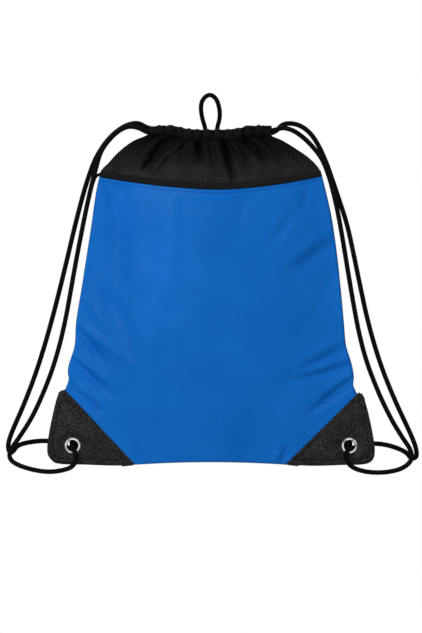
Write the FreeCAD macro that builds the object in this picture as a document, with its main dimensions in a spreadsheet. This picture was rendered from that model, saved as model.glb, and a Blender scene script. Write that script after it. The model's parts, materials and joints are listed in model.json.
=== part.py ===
import FreeCAD, Part
import math
import os

import Sketcher
from FreeCAD import Vector

doc = FreeCAD.newDocument("DrawstringBackpack")

# Driving dimensions, in millimetres and degrees. Heights are measured up from the bottom seam.
SIZES = (
    ("corner_half_width", 178.5, "half width at the bottom corners"),
    ("corner_radius", 11.0, "rounding of the bottom corners"),
    ("patch_foot_half_width", 82.0, "half width where a patch's slant meets the bottom seam"),
    ("patch_slant_half_width", 159.5, "half width at the upper end of a patch's slant"),
    ("patch_slant_height", 82.0, "height of the upper end of a patch's slant"),
    ("patch_tip_reach", 8.0, "how far a patch's rounded tip stands out past its slant's end"),
    ("patch_tip_drop", 6.0, "how far that tip lies below the slant's end"),
    ("hip_half_width", 155.5, "half width of the sides just above the patches"),
    ("hip_height", 108.0, "height of the side's widest place above the patches"),
    ("waist_half_width", 147.5, "half width at the foot of the long side curves"),
    ("waist_height", 134.0, "height of the foot of the long side curves"),
    ("side_half_width", 136.5, "half width halfway up the long side curves"),
    ("side_height", 228.0, "height halfway up the long side curves"),
    ("band_half_width", 121.0, "half width at the ends of the band"),
    ("band_end_height", 313.5, "height of the band's lower edge at the side seams"),
    ("band_dip", 14.5, "how far the band dips towards the middle"),
    ("band_width", 6.8, "width of the band"),
    ("band_thickness", 1.0, "thickness of the band's tape"),
    ("shoulder_half_width", 101.5, "half width halfway up the gathered shoulders"),
    ("shoulder_rise", 27.5, "height of the yoke's shoulders above the band's ends"),
    ("hem_half_length", 66.0, "half length of the gathered hem"),
    ("hem_rise", 50.5, "height of the hem's ends above the band's ends"),
    ("hem_dip", 5.0, "how far the hem dips in the middle"),
    ("hem_end_depth", 6.0, "from the middle plane to the hem's centre at its ends"),
    ("hem_mid_depth", 16.0, "from the middle plane to the hem's centre in the middle"),
    ("hem_wall", 1.0, "cloth round the cords in the hem"),
    ("hem_straight", 20.0, "straight stretch at each end of the hem"),
    ("mouth_half_flat", 20.0, "half of the straight stretch in the middle of the hem"),
    ("panel_thickness", 1.2, "thickness of the cloth walls"),
    ("bottom_arch", 3.0, "how far the bottom seam rises between the patches"),
    ("yoke_gap", 0.4, "clearance round the mesh where it swings"),
    ("patch_thickness", 1.2, "thickness of a corner patch"),
    ("grommet_inset", 27.8, "from the bag's corner in to a grommet's centre"),
    ("grommet_height", 21.2, "height of the grommets' centres"),
    ("grommet_hole_radius", 5.6, "clear radius through a grommet"),
    ("grommet_wall", 0.6, "wall of a grommet's barrel"),
    ("grommet_flange_radius", 9.0, "outer radius of a grommet's flange"),
    ("grommet_flange_depth", 1.2, "how far the flange stands up from the patch"),
    ("grommet_roll", 1.3, "how far the barrel's rear end is rolled out"),
    ("grommet_clearance", 0.1, "clearance of the barrel in the cloth and the washer"),
    ("washer_thickness", 0.8, "thickness of the washer"),
    ("cord_diameter", 4.8, "diameter of the strap cords"),
    ("cord_clearance", 0.4, "clearance of the cords in the hem"),
    ("cord_spacing", 5.6, "between the centres of the two cords in a hem"),
    ("loop_diameter", 4.4, "diameter of the hang loop's cord"),
    ("loop_clearance", 0.3, "hem to the rounded feet of the hang loop"),
    ("loop_rise", 35.4, "top of the hem's middle to the bearing at the top of the hang loop"),
)

sheet = doc.addObject("Spreadsheet::Sheet", "Sizes")
for row, (alias, value, meaning) in enumerate(SIZES, start=1):
    sheet.set(f"A{row}", meaning)
    sheet.set(f"B{row}", str(value))
    sheet.setAlias(f"B{row}", alias)
doc.recompute()


def size(alias):
    return float(getattr(sheet, alias))


WALL = size("panel_thickness")
CORD_RADIUS = size("cord_diameter") / 2
HEM_HALF_HEIGHT = size("cord_spacing") / 2 + CORD_RADIUS + size("cord_clearance") + size("hem_wall")
HEM_HALF_DEPTH = CORD_RADIUS + size("cord_clearance") + size("hem_wall")
HEM_END = size("band_end_height") + size("hem_rise")
SHOULDER_HEIGHT = size("band_end_height") + size("shoulder_rise")
HEM_TOP = HEM_END - size("hem_dip") + HEM_HALF_HEIGHT
HANG_HEIGHT = HEM_TOP + size("loop_rise")
BASE = -HANG_HEIGHT
GROMMET_X = size("corner_half_width") - size("grommet_inset")
MIDDLE_CUT = 1.0


def at(x, height, y=0.0):
    """A point from its distance right of the middle, height above the bottom seam and depth."""
    return Vector(x, y, BASE + height)


def line(start, end):
    return Part.LineSegment(start, end).toShape()


def arc(start, middle, end):
    return Part.Arc(start, middle, end).toShape()


HEM_LOW = HEM_END - HEM_HALF_HEIGHT
BAND_TOP = size("band_end_height") + size("band_width")

# The bag's wall: how it swells out, from below the bottom seam to above the hem's lower edge.
# height, half width of the swelling, how far it swells, how far its side edges stand off the middle
WALL_LEVELS = (
    (-8.0, 72.0, 1.0, 0.0),
    (7.0, 84.0, 1.5, 0.0),
    (30.0, 105.0, 10.0, 0.0),
    (60.0, 131.0, 17.0, 0.0),
    (95.0, 145.0, 21.5, 0.0),
    (0.48 * BAND_TOP, 138.0, 24.5, 0.0),
    (0.66 * BAND_TOP, 131.0, 25.0, 0.0),
    (0.84 * BAND_TOP, 122.0, 23.5, 0.1),
    (BAND_TOP, 111.0, 20.0, 0.4),
    (0.56 * HEM_LOW + 0.44 * BAND_TOP, 92.0, 16.5, 1.8),
    (HEM_LOW + 1.0, 66.0, 11.0, 5.0),
    (HEM_LOW + 15.0, 62.0, 10.0, 6.0),
)
WALL_REACH = 200.0


def wall_section(level, inner, outer):
    """One level section of the front wall between two offsets from its inner face."""
    height, half, swell, stand = level
    faces = []
    for offset in (inner, outer):
        flat = -(stand + offset)
        faces.append(
            [
                at(-WALL_REACH, height, flat),
                at(-half, height, flat),
                at(0, height, flat - swell),
                at(half, height, flat),
                at(WALL_REACH, height, flat),
            ]
        )
    back, front = faces
    edges = [
        line(back[0], front[0]),
        line(front[0], front[1]),
        arc(front[1], front[2], front[3]),
        line(front[3], front[4]),
        line(front[4], back[4]),
        line(back[4], back[3]),
        arc(back[3], back[2], back[1]),
        line(back[1], back[0]),
    ]
    return Part.Wire(edges)


def wall_between(inner, outer):
    """The whole front wall as a solid, before it is cut to an outline."""
    sections = [wall_section(level, inner, outer) for level in WALL_LEVELS]
    return Part.makeLoft(sections, True, False)


def front_prism(edges):
    """What lies before the middle plane inside an outline drawn in the X and Z plane."""
    face = Part.Face(Part.Wire(Part.__sortEdges__(edges)))
    face.translate(Vector(0, MIDDLE_CUT, 0))
    return face.extrude(Vector(0, -60 - MIDDLE_CUT, 0))


def mirrored_x(point):
    return Vector(-point.x, point.y, point.z)


def both_sides(edges_of):
    """The edges that a function draws for the right side, and their mirror images."""
    return edges_of(lambda point: point) + edges_of(mirrored_x)


def side_edges(turn):
    """The right side of the bag from the patch's foot up to the band's lower edge."""
    corner, radius = size("corner_half_width"), size("corner_radius")
    slack = radius * (1 - math.sqrt(0.5))
    slant_x, slant_z = size("patch_slant_half_width"), size("patch_slant_height")
    tip_x, tip_z = slant_x + size("patch_tip_reach"), slant_z - size("patch_tip_drop")
    tip_start = at(tip_x + 1.5, tip_z - 9.0)
    notch = at(size("hip_half_width") - 0.5, slant_z + 9.0)
    hip = at(size("hip_half_width"), size("hip_height"))
    waist = at(size("waist_half_width"), size("waist_height"))
    side = at(size("side_half_width"), size("side_height"))
    band = at(size("band_half_width"), size("band_end_height"))
    return [
        line(turn(at(size("patch_foot_half_width"), 0)), turn(at(corner - radius, 0))),
        arc(
            turn(at(corner - radius, 0)),
            turn(at(corner - slack, slack)),
            turn(at(corner, radius)),
        ),
        line(turn(at(corner, radius)), turn(tip_start)),
        arc(turn(tip_start), turn(at(tip_x - 1.0, tip_z + 1.0)), turn(at(slant_x, slant_z))),
        line(turn(at(slant_x, slant_z)), turn(notch)),
        line(turn(notch), turn(hip)),
        line(turn(hip), turn(waist)),
        arc(turn(waist), turn(side), turn(band)),
    ]


def bottom_seam():
    foot = size("patch_foot_half_width")
    return [arc(at(-foot, 0), at(0, size("bottom_arch")), at(foot, 0))]


def across(half_width, end_height, dip):
    """A line across the bag that dips towards the middle."""
    return arc(at(-half_width, end_height), at(0, end_height - dip), at(half_width, end_height))


BAND_HALF = size("band_half_width")
BAND_LOW = size("band_end_height")
BAND_DIP = size("band_dip")


def body_outline():
    """The blue panel's outline, with its top edge under the band."""
    top = BAND_TOP
    half = BAND_HALF - 0.5
    ends = [
        line(at(BAND_HALF, BAND_LOW), at(half, top)),
        line(at(-BAND_HALF, BAND_LOW), at(-half, top)),
    ]
    return both_sides(side_edges) + bottom_seam() + ends + [across(half, top, BAND_DIP)]


def band_outline():
    half = BAND_HALF - 0.5
    return [
        across(BAND_HALF, BAND_LOW, BAND_DIP),
        across(half, BAND_TOP, BAND_DIP),
        line(at(BAND_HALF, BAND_LOW), at(half, BAND_TOP)),
        line(at(-BAND_HALF, BAND_LOW), at(-half, BAND_TOP)),
    ]


def yoke_outline():
    """The mesh from the band up to the hem's lower face, with its sloping shoulders."""
    foot = BAND_TOP + size("yoke_gap")
    half = BAND_HALF - 1.5
    hem_low = HEM_LOW - 0.2
    neck = size("hem_half_length") + 1.0

    def shoulder(turn):
        return [
            arc(
                turn(at(half, foot)),
                turn(at(size("shoulder_half_width"), SHOULDER_HEIGHT)),
                turn(at(neck, hem_low)),
            )
        ]

    top = across(neck, hem_low, size("hem_dip"))
    return both_sides(shoulder) + [across(half, foot, BAND_DIP), top]


def patch_outline(turn):
    """One corner patch: the bag's own edge, closed by the slant."""
    edges = side_edges(turn)[:4]
    slant = line(
        turn(at(size("patch_slant_half_width"), size("patch_slant_height"))),
        turn(at(size("patch_foot_half_width"), 0)),
    )
    return edges + [slant]


def grommet_hole(side):
    """The hole through patches and panels for a grommet's barrel."""
    radius = size("grommet_hole_radius") + size("grommet_wall") + size("grommet_clearance")
    foot = at(side * GROMMET_X, size("grommet_height"), -30)
    return Part.makeCylinder(radius, 60, foot, Vector(0, 1, 0))


pieces = {}


def keep(name, shape):
    """A sub-part whose shape is worked out here from the sheet's sizes."""
    feature = doc.addObject("Part::Feature", name)
    feature.Shape = shape
    feature.Label = name
    pieces[name] = feature
    return feature


def keep_mirrored(name, source):
    """The same piece behind the middle plane."""
    feature = doc.addObject("Part::Mirroring", name)
    feature.Source = source
    feature.Base = Vector(0, 0, 0)
    feature.Normal = Vector(0, 1, 0)
    feature.Label = name
    pieces[name] = feature
    return feature


# Walls of cloth
wall = wall_between(0, WALL)
panel = wall.common(front_prism(body_outline()))
for side in (-1, 1):
    panel = panel.cut(grommet_hole(side))
front_panel = keep("front_panel", panel.Solids[0])
keep_mirrored("back_panel", front_panel)

band = wall_between(WALL, WALL + size("band_thickness")).common(front_prism(band_outline()))
keep_mirrored("back_binding", keep("front_binding", band.Solids[0]))

yoke = wall.common(front_prism(yoke_outline()))
front_yoke = keep("front_yoke", yoke.Solids[0])
keep_mirrored("back_yoke", front_yoke)


# Corner patches, flat pads over the corners of both panels
def corner_patch(name, side):
    turn = mirrored_x if side < 0 else (lambda point: point)
    outline = doc.addObject("Part::Feature", name + "_outline")
    outline.Shape = Part.Face(Part.Wire(Part.__sortEdges__(patch_outline(turn))))
    pad = doc.addObject("Part::Extrusion", name + "_pad")
    pad.Base = outline
    pad.DirMode = "Custom"
    pad.Dir = Vector(0, -1, 0)
    pad.Solid = True
    pad.setExpression("LengthFwd", "Sizes.patch_thickness")
    hole = doc.addObject("Part::Cylinder", name + "_hole")
    hole.setExpression(
        "Radius", "Sizes.grommet_hole_radius + Sizes.grommet_wall + Sizes.grommet_clearance"
    )
    hole.Height = 20
    hole.Placement = FreeCAD.Placement(
        at(side * GROMMET_X, size("grommet_height"), 10),
        FreeCAD.Rotation(Vector(1, 0, 0), 90),
    )
    patch = doc.addObject("Part::Cut", name)
    patch.Base = pad
    patch.Tool = hole
    patch.Label = name
    patch.setExpression("Placement.Base.y", "-Sizes.panel_thickness")
    pieces[name] = patch
    return patch


for side, word in ((-1, "left"), (1, "right")):
    front = corner_patch(f"front_{word}_corner_patch", side)
    doc.recompute()
    keep_mirrored(f"back_{word}_corner_patch", front)


# Grommets and washers, turned about the hole's axis
def turned_body(name, profile, placement):
    """A PartDesign body turned about Y from a profile of radius and depth formulas."""
    body = doc.addObject("PartDesign::Body", name)
    body.Label = name
    sketch = body.newObject("Sketcher::SketchObject", name + "_profile")
    planes = body.Origin.OriginFeatures
    sketch.AttachmentSupport = [(next(p for p in planes if p.Role == "XY_Plane"), "")]
    sketch.MapMode = "FlatFace"
    count = len(profile)
    for index in range(count):
        turn = 2 * math.pi * index / count
        following = 2 * math.pi * (index + 1) / count
        start = Vector(20 + 5 * math.cos(turn), 20 + 5 * math.sin(turn), 0)
        end = Vector(20 + 5 * math.cos(following), 20 + 5 * math.sin(following), 0)
        sketch.addGeometry(Part.LineSegment(start, end), False)
    for index in range(count):
        following = (index + 1) % count
        sketch.addConstraint(Sketcher.Constraint("Coincident", index, 2, following, 1))
    for index, (radius, depth) in enumerate(profile):
        for kind, formula in (("DistanceX", radius), ("DistanceY", depth)):
            number = sketch.addConstraint(Sketcher.Constraint(kind, -1, 1, index, 1, 20.0))
            sketch.setExpression(f"Constraints[{number}]", formula)
    doc.recompute()
    revolution = body.newObject("PartDesign::Revolution", name + "_turned")
    revolution.Profile = sketch
    revolution.ReferenceAxis = (sketch, ["V_Axis"])
    revolution.Angle = 360
    body.Placement = placement
    pieces[name] = body
    return body


BORE = "Sizes.grommet_hole_radius"
BARREL = f"({BORE} + Sizes.grommet_wall)"
FLANGE = "Sizes.grommet_flange_radius"
RISE = "Sizes.grommet_flange_depth"
STACK = "(2 * (Sizes.panel_thickness + Sizes.patch_thickness))"
WASHER = "Sizes.washer_thickness"
SEAT = "Sizes.grommet_clearance"
EDGE = f"({RISE} * 0.8)"
REAR = f"({RISE} + {STACK} + {WASHER} + 2 * {SEAT})"
TAIL = f"({REAR} + Sizes.grommet_wall)"

GROMMET_PROFILE = (
    (BORE, EDGE),
    (f"{BORE} + {EDGE}", "0.01"),
    (f"{FLANGE} - {EDGE}", "0.01"),
    (FLANGE, EDGE),
    (FLANGE, RISE),
    (BARREL, RISE),
    (BARREL, REAR),
    (f"{BARREL} + Sizes.grommet_roll", REAR),
    (f"{BARREL} + Sizes.grommet_roll", f"{REAR} + {EDGE} / 2"),
    (BARREL, TAIL),
    (BORE, TAIL),
)
WASHER_PROFILE = (
    (f"{BARREL} + {SEAT}", "0.01"),
    (FLANGE, "0.01"),
    (FLANGE, f"{WASHER} / 2"),
    (f"{FLANGE} - {WASHER} / 2", WASHER),
    (f"{BARREL} + {SEAT}", WASHER),
)

half_stack = WALL + size("patch_thickness")
front_face = -half_stack - size("grommet_flange_depth")
for side, word in ((-1, "left"), (1, "right")):
    centre_x = side * GROMMET_X
    height = size("grommet_height")
    seat_y = half_stack + size("grommet_clearance")
    turned_body(
        f"{word}_grommet",
        GROMMET_PROFILE,
        FreeCAD.Placement(at(centre_x, height, front_face), FreeCAD.Rotation()),
    )
    turned_body(
        f"{word}_grommet_washer",
        WASHER_PROFILE,
        FreeCAD.Placement(at(centre_x, height, seat_y - 0.01), FreeCAD.Rotation()),
    )


# Paths of straight runs joined by tangent arcs
def rounded_path(points, radii=None, largest=1e9):
    """Edges through a polyline whose corners are rounded, each arc as large as its runs allow."""
    edges = []
    last = points[0]
    for before, corner, after in zip(points, points[1:], points[2:]):
        back, ahead = (before - corner), (after - corner)
        shorter = min(back.Length, ahead.Length)
        back.normalize()
        ahead.normalize()
        turn = math.pi - back.getAngle(ahead)
        reach = min(0.45 * shorter, largest * math.tan(turn / 2))
        start = corner + back * reach
        end = corner + ahead * reach
        bulge = (back + ahead).normalize()
        radius = reach / math.tan(turn / 2)
        middle = corner + bulge * (radius / math.cos(turn / 2) - radius)
        if radii is not None:
            radii.append(radius)
        edges.append(line(last, start))
        edges.append(arc(start, middle, end))
        last = end
    edges.append(line(last, points[-1]))
    return edges


def tube(edges, radius):
    """A round tube along a path, and the path's length."""
    path = Part.Wire(edges)
    start = edges[0].valueAt(edges[0].FirstParameter)
    direction = edges[0].tangentAt(edges[0].FirstParameter)
    ring = Part.Wire(Part.makeCircle(radius, start, direction))
    return path.makePipeShell([ring], True, False), path.Length


def report_tube(name, solid, length, radius, radii):
    share = solid.Volume / (math.pi * radius * radius * length)
    text = ", ".join(f"{value:.1f}" for value in radii)
    print(f"{name}: length {length:.1f}, volume over section times length {share:.4f}, radii {text}")


# The hem, front half: a flat tube with room for two cords
def hem_line(side_shift=0.0, reach=None):
    """The hem's centre line from left to right, or a cord's beside it."""
    half = size("hem_half_length") if reach is None else reach
    bend = size("hem_half_length") - size("hem_straight")
    end = HEM_END + side_shift
    low = end - size("hem_dip")
    near, far = -size("hem_end_depth"), -size("hem_mid_depth")
    flat = size("mouth_half_flat")
    return [
        at(-half, end, near),
        at(-bend, end, near),
        at(-flat, low, far),
        at(flat, low, far),
        at(bend, end, near),
        at(half, end, near),
    ]


def flat_ring(half_depth, half_height):
    """An upright rounded section at the hem's left end, with half-round ends."""
    centre = hem_line()[0]
    straight = half_height - half_depth

    def spot(y, z):
        return Vector(centre.x, centre.y + y, centre.z + z)

    return Part.Wire(
        [
            line(spot(-half_depth, -straight), spot(-half_depth, straight)),
            arc(spot(-half_depth, straight), spot(0, half_height), spot(half_depth, straight)),
            line(spot(half_depth, straight), spot(half_depth, -straight)),
            arc(spot(half_depth, -straight), spot(0, -half_height), spot(-half_depth, -straight)),
        ]
    )


hem_path = Part.Wire(rounded_path(hem_line()))
hem_outer = hem_path.makePipeShell([flat_ring(HEM_HALF_DEPTH, HEM_HALF_HEIGHT)], True, False)
channel_depth = HEM_HALF_DEPTH - size("hem_wall")
channel_height = HEM_HALF_HEIGHT - size("hem_wall")
hem_inner = hem_path.makePipeShell([flat_ring(channel_depth, channel_height)], True, False)
hem = hem_outer.cut(hem_inner)

# Where a cord turns from one hem into the other, the hem's inner face is open
TURN_START = size("hem_half_length") - HEM_HALF_DEPTH - 2 * CORD_RADIUS - 0.8
notch_length = size("hem_half_length") - TURN_START + 3.0
for side in (-1, 1):
    low_x = TURN_START - 2.0 if side > 0 else -size("hem_half_length") - 1.0
    corner = at(low_x, HEM_END - channel_height, -size("hem_end_depth") + 1.0)
    hem = hem.cut(Part.makeBox(notch_length, size("hem_end_depth"), 2 * channel_height, corner))
front_tunnel = keep("front_tunnel", hem.Solids[0])
keep_mirrored("back_tunnel", front_tunnel)


# The cords inside the hems
def hem_run(side, level):
    """A cord in the front hem: from its own side's exit along to half of its turn into the back."""
    points = hem_line(level * size("cord_spacing") / 2)
    points[-1] = Vector(TURN_START, points[-1].y, points[-1].z)
    edges = rounded_path(points)
    start = points[-1]
    across_turn = Vector(0, -start.y, -level * size("cord_spacing") / 2)
    radius = across_turn.Length
    centre = start + across_turn
    half_way = centre + (Vector(1, 0, 0) - across_turn.normalize()) * (radius * math.sqrt(0.5))
    edges.append(arc(start, half_way, centre + Vector(radius, 0, 0)))
    solid, length = tube(edges, CORD_RADIUS)
    if side > 0:
        solid = solid.mirror(Vector(0, 0, 0), Vector(1, 0, 0))
    return solid, length


for side, word, level in ((-1, "left", -1), (1, "right", 1)):
    front_run, run_length = hem_run(side, level)
    behind = hem_run(side, -level)[0].mirror(Vector(0, 0, 0), Vector(0, 1, 0))
    keep(f"{word}_cord_front_run", front_run)
    keep(f"{word}_cord_back_run", behind)
    print(f"{word} cord in each hem: {run_length:.1f}")

# The free cords. Points run from the tunnel down the inner strand, round the front ring, through
# the grommet from front to back, and up the outer strand to the tunnel again: x, height, y.
LEFT_ROUTE = (
    (-69.8, 361.8, -4.0),
    (-78.5, 367.2, -3.6),
    (-91.0, 369.0, -3.2),
    (-104.5, 361.0, -3.0),
    (-116.5, 346.2, -3.0),
    (-124.5, 329.5, -3.0),
    (-129.6, 308.0, -3.0),
    (-135.2, 282.0, -3.0),
    (-142.0, 247.0, -3.0),
    (-149.0, 205.0, -3.0),
    (-156.8, 165.0, -3.0),
    (-166.0, 128.5, -3.0),
    (-180.6, 92.5, -3.0),
    (-193.5, 62.0, -3.2),
    (-200.8, 41.0, -3.4),
    (-210.4, 26.5, -3.6),
    (-217.5, 14.0, -4.0),
    (-213.0, 2.0, -4.5),
    (-202.0, -2.5, -5.0),
    (-188.0, -6.2, -5.5),
    (-173.5, -7.4, -6.0),
    (-159.5, -5.2, -6.6),
    (-150.0, -1.5, -8.0),
    (-145.4, 8.0, -9.2),
    (-151.2, 18.5, -9.6),
    (-151.2, 18.5, 9.0),
    (-164.0, 22.5, 12.0),
    (-178.0, 26.2, 12.0),
    (-192.0, 25.6, 9.0),
    (-204.5, 23.2, 6.0),
    (-213.5, 19.2, 4.4),
    (-216.4, 10.6, 3.8),
    (-223.0, 11.4, 3.2),
    (-222.6, 22.0, 3.0),
    (-219.0, 34.5, 3.0),
    (-212.5, 49.0, 3.0),
    (-203.5, 72.0, 3.0),
    (-185.6, 116.0, 3.0),
    (-175.6, 147.5, 3.0),
    (-166.8, 180.0, 3.0),
    (-159.6, 214.5, 3.0),
    (-152.0, 247.0, 3.0),
    (-146.3, 273.5, 3.0),
    (-140.4, 297.0, 3.0),
    (-133.2, 319.5, 3.0),
    (-124.4, 335.0, 3.0),
    (-114.5, 351.0, 3.0),
    (-103.5, 363.0, 3.0),
    (-91.0, 371.0, 3.2),
    (-78.9, 373.0, 3.6),
    (-69.8, 367.2, 4.0),
)
RIGHT_ROUTE = (
    (69.8, 367.2, -4.0),
    (79.5, 370.6, -3.6),
    (92.5, 363.0, -3.2),
    (104.5, 352.5, -3.0),
    (114.0, 341.5, -3.0),
    (123.0, 327.5, -3.0),
    (129.0, 309.5, -3.0),
    (134.0, 288.0, -3.0),
    (140.0, 262.0, -3.0),
    (146.5, 230.5, -3.0),
    (151.6, 200.0, -3.0),
    (155.8, 171.0, -3.0),
    (161.0, 146.0, -3.0),
    (170.0, 116.0, -3.0),
    (180.4, 89.0, -3.0),
    (190.2, 64.5, -3.2),
    (200.0, 42.5, -3.4),
    (208.8, 30.0, -3.6),
    (217.0, 18.5, -4.0),
    (219.6, 6.0, -4.4),
    (209.5, -3.2, -4.8),
    (195.0, -7.2, -5.4),
    (179.5, -8.2, -6.0),
    (164.5, -6.6, -6.6),
    (151.0, -1.2, -8.0),
    (145.6, 9.0, -9.0),
    (151.2, 18.5, -9.4),
    (151.2, 18.5, 9.0),
    (164.0, 21.5, 12.0),
    (177.5, 23.2, 12.0),
    (190.5, 22.0, 9.0),
    (203.0, 18.4, 6.0),
    (213.5, 13.4, 4.4),
    (218.0, 6.4, 3.8),
    (224.6, 8.4, 3.2),
    (223.6, 18.5, 3.0),
    (219.4, 32.0, 3.0),
    (210.9, 52.0, 3.0),
    (200.0, 79.6, 3.0),
    (188.6, 112.0, 3.0),
    (179.4, 143.0, 3.0),
    (170.8, 174.4, 3.0),
    (162.6, 210.4, 3.0),
    (153.3, 245.6, 3.0),
    (145.0, 273.0, 3.0),
    (137.0, 300.0, 3.0),
    (130.5, 317.5, 3.0),
    (125.5, 332.0, 3.0),
    (118.5, 346.0, 3.0),
    (108.0, 361.5, 3.0),
    (95.0, 371.5, 3.2),
    (78.5, 372.5, 3.6),
    (70.2, 362.2, 4.0),
)
for word, route in (("left", LEFT_ROUTE), ("right", RIGHT_ROUTE)):
    route_radii = []
    edges = rounded_path([at(*spot) for spot in route], route_radii)
    solid, length = tube(edges, CORD_RADIUS)
    report_tube(f"{word}_strap_cord", solid, length, CORD_RADIUS, route_radii)
    keep(f"{word}_strap_cord", solid)

# The hang loop, whose feet are rounded so that they roll on top of the back hem
LOOP_RADIUS = size("loop_diameter") / 2
LOOP_FOOT = HEM_TOP + size("loop_clearance") + LOOP_RADIUS
LOOP_TOP = HANG_HEIGHT + LOOP_RADIUS


def loop_spot(x, height):
    """A point of the loop, which leans from the back hem to hang plumb over the bag's middle."""
    lean = (LOOP_TOP - height) / (LOOP_TOP - LOOP_FOOT)
    return at(x, height, size("hem_mid_depth") * lean)


loop_points = [
    loop_spot(-6.2, LOOP_FOOT),
    loop_spot(-9.6, LOOP_FOOT + 9.5),
    loop_spot(-11.4, LOOP_FOOT + 21.5),
    loop_spot(-9.2, LOOP_TOP - 4.6),
    loop_spot(-1.4, LOOP_TOP + 1.0),
    loop_spot(6.4, LOOP_TOP - 4.4),
    loop_spot(9.7, LOOP_FOOT + 18.5),
    loop_spot(9.5, LOOP_FOOT + 9.0),
    loop_spot(6.6, LOOP_FOOT),
]
loop_radii = []
loop_tube, loop_length = tube(rounded_path(loop_points, loop_radii), LOOP_RADIUS)
report_tube("hang_loop", loop_tube, loop_length, LOOP_RADIUS, loop_radii)
for foot in (loop_points[0], loop_points[-1]):
    loop_tube = loop_tube.fuse(Part.makeSphere(LOOP_RADIUS, foot))
keep("hang_loop", loop_tube.removeSplitter().Solids[0])

doc.recompute()

faults = [o.Name for o in doc.Objects if "Invalid" in o.State or "Error" in o.State]
for name, piece in pieces.items():
    if piece.Shape.isNull() or not piece.Shape.isValid() or not piece.Shape.Solids:
        faults.append(name)
if faults:
    raise RuntimeError(f"these objects failed: {faults}")

os.makedirs("parts", exist_ok=True)
for name, piece in pieces.items():
    box = piece.Shape.BoundBox
    print(
        f"{name}: {len(piece.Shape.Solids)} solid, volume {piece.Shape.Volume:.0f}, "
        f"x {box.XMin:.1f} {box.XMax:.1f}, y {box.YMin:.1f} {box.YMax:.1f}, "
        f"z {box.ZMin:.1f} {box.ZMax:.1f}"
    )
    piece.Shape.exportStep(os.path.join("parts", name + ".step"))
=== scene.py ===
"""A drawstring backpack as an add-on: each operator makes one piece, or one group of like pieces."""

import contextlib
import json
import math

import bmesh
import bpy
import numpy as np
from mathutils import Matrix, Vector, noise

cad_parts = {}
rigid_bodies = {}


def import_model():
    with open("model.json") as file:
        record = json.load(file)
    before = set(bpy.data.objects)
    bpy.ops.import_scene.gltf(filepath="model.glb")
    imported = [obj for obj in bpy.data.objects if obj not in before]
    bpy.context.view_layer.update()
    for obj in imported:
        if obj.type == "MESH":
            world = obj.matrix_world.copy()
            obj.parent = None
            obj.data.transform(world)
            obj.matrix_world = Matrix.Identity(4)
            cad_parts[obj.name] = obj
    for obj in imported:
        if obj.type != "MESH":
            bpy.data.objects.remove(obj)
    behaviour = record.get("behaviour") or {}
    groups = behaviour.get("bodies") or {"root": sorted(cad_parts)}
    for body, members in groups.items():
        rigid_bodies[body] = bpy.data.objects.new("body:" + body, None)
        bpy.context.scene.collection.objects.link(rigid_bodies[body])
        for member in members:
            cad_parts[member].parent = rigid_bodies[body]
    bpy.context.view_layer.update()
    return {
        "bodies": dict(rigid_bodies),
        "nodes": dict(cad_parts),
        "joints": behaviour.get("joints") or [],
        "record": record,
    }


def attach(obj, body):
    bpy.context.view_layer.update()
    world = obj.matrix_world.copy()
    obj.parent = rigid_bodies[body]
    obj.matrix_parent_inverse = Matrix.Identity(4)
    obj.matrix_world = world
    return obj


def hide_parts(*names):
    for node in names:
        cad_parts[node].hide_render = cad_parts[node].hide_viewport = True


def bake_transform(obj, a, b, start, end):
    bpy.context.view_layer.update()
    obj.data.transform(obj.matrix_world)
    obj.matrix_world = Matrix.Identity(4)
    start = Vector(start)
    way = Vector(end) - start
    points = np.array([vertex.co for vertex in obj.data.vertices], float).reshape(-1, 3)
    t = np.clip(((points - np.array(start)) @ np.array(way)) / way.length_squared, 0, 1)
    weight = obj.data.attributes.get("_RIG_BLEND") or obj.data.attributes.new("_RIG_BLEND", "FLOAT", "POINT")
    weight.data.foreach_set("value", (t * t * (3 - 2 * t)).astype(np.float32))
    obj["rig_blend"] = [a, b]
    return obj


bl_info = {
    "name": "Drawstring backpack",
    "version": (1, 0, 0),
    "blender": (4, 5, 0),
    "location": "3D View > Sidebar > Backpack",
    "description": "Builds a drawstring backpack with a mesh yoke, drawcords and eyelets",
    "category": "Object",
}

MM = 0.001
HANG_HEIGHT = 401.0


def spot(x, height, y):
    """Millimetres across, above the bottom seam and back, as a point of the frame in metres."""
    return Vector((x * MM, y * MM, (height - HANG_HEIGHT) * MM))


# Shape of the bag, in millimetres: half widths are signed, heights are above the bottom seam
BAG_EDGE = {
    -1: (
        (-150, 0.4), (-166, 4.6), (-172, 12), (-174, 30), (-171, 50), (-166.5, 68), (-160, 80),
        (-154.9, 93.6), (-156, 100.2), (-155, 108.9), (-148.6, 130), (-147, 155), (-140.4, 196.4),
        (-135.8, 225.9), (-131.1, 255.8), (-125.2, 296.7), (-121, 316),
    ),
    1: (
        (150, 0.4), (165, 3.6), (171.5, 11), (173.8, 28), (171, 48), (166.5, 64), (159.5, 77),
        (155, 87.1), (155.7, 95.8), (153, 111), (147.2, 130.1), (144.8, 155), (141.5, 190.5),
        (137, 231.9), (131.1, 271.1), (125.2, 296.7), (120.4, 316),
    ),
}
YOKE_EDGE = {
    -1: (
        (-118.6, 316), (-119.2, 321.7), (-112.1, 329.9), (-101.2, 341.9), (-86, 353), (-70.8, 358.6),
        (-66, 360.5),
    ),
    1: (
        (118.2, 316), (118.1, 322.3), (106.7, 335.8), (91.5, 346.6), (77, 354.6), (66.5, 358.2),
        (63, 360.5),
    ),
}
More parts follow.
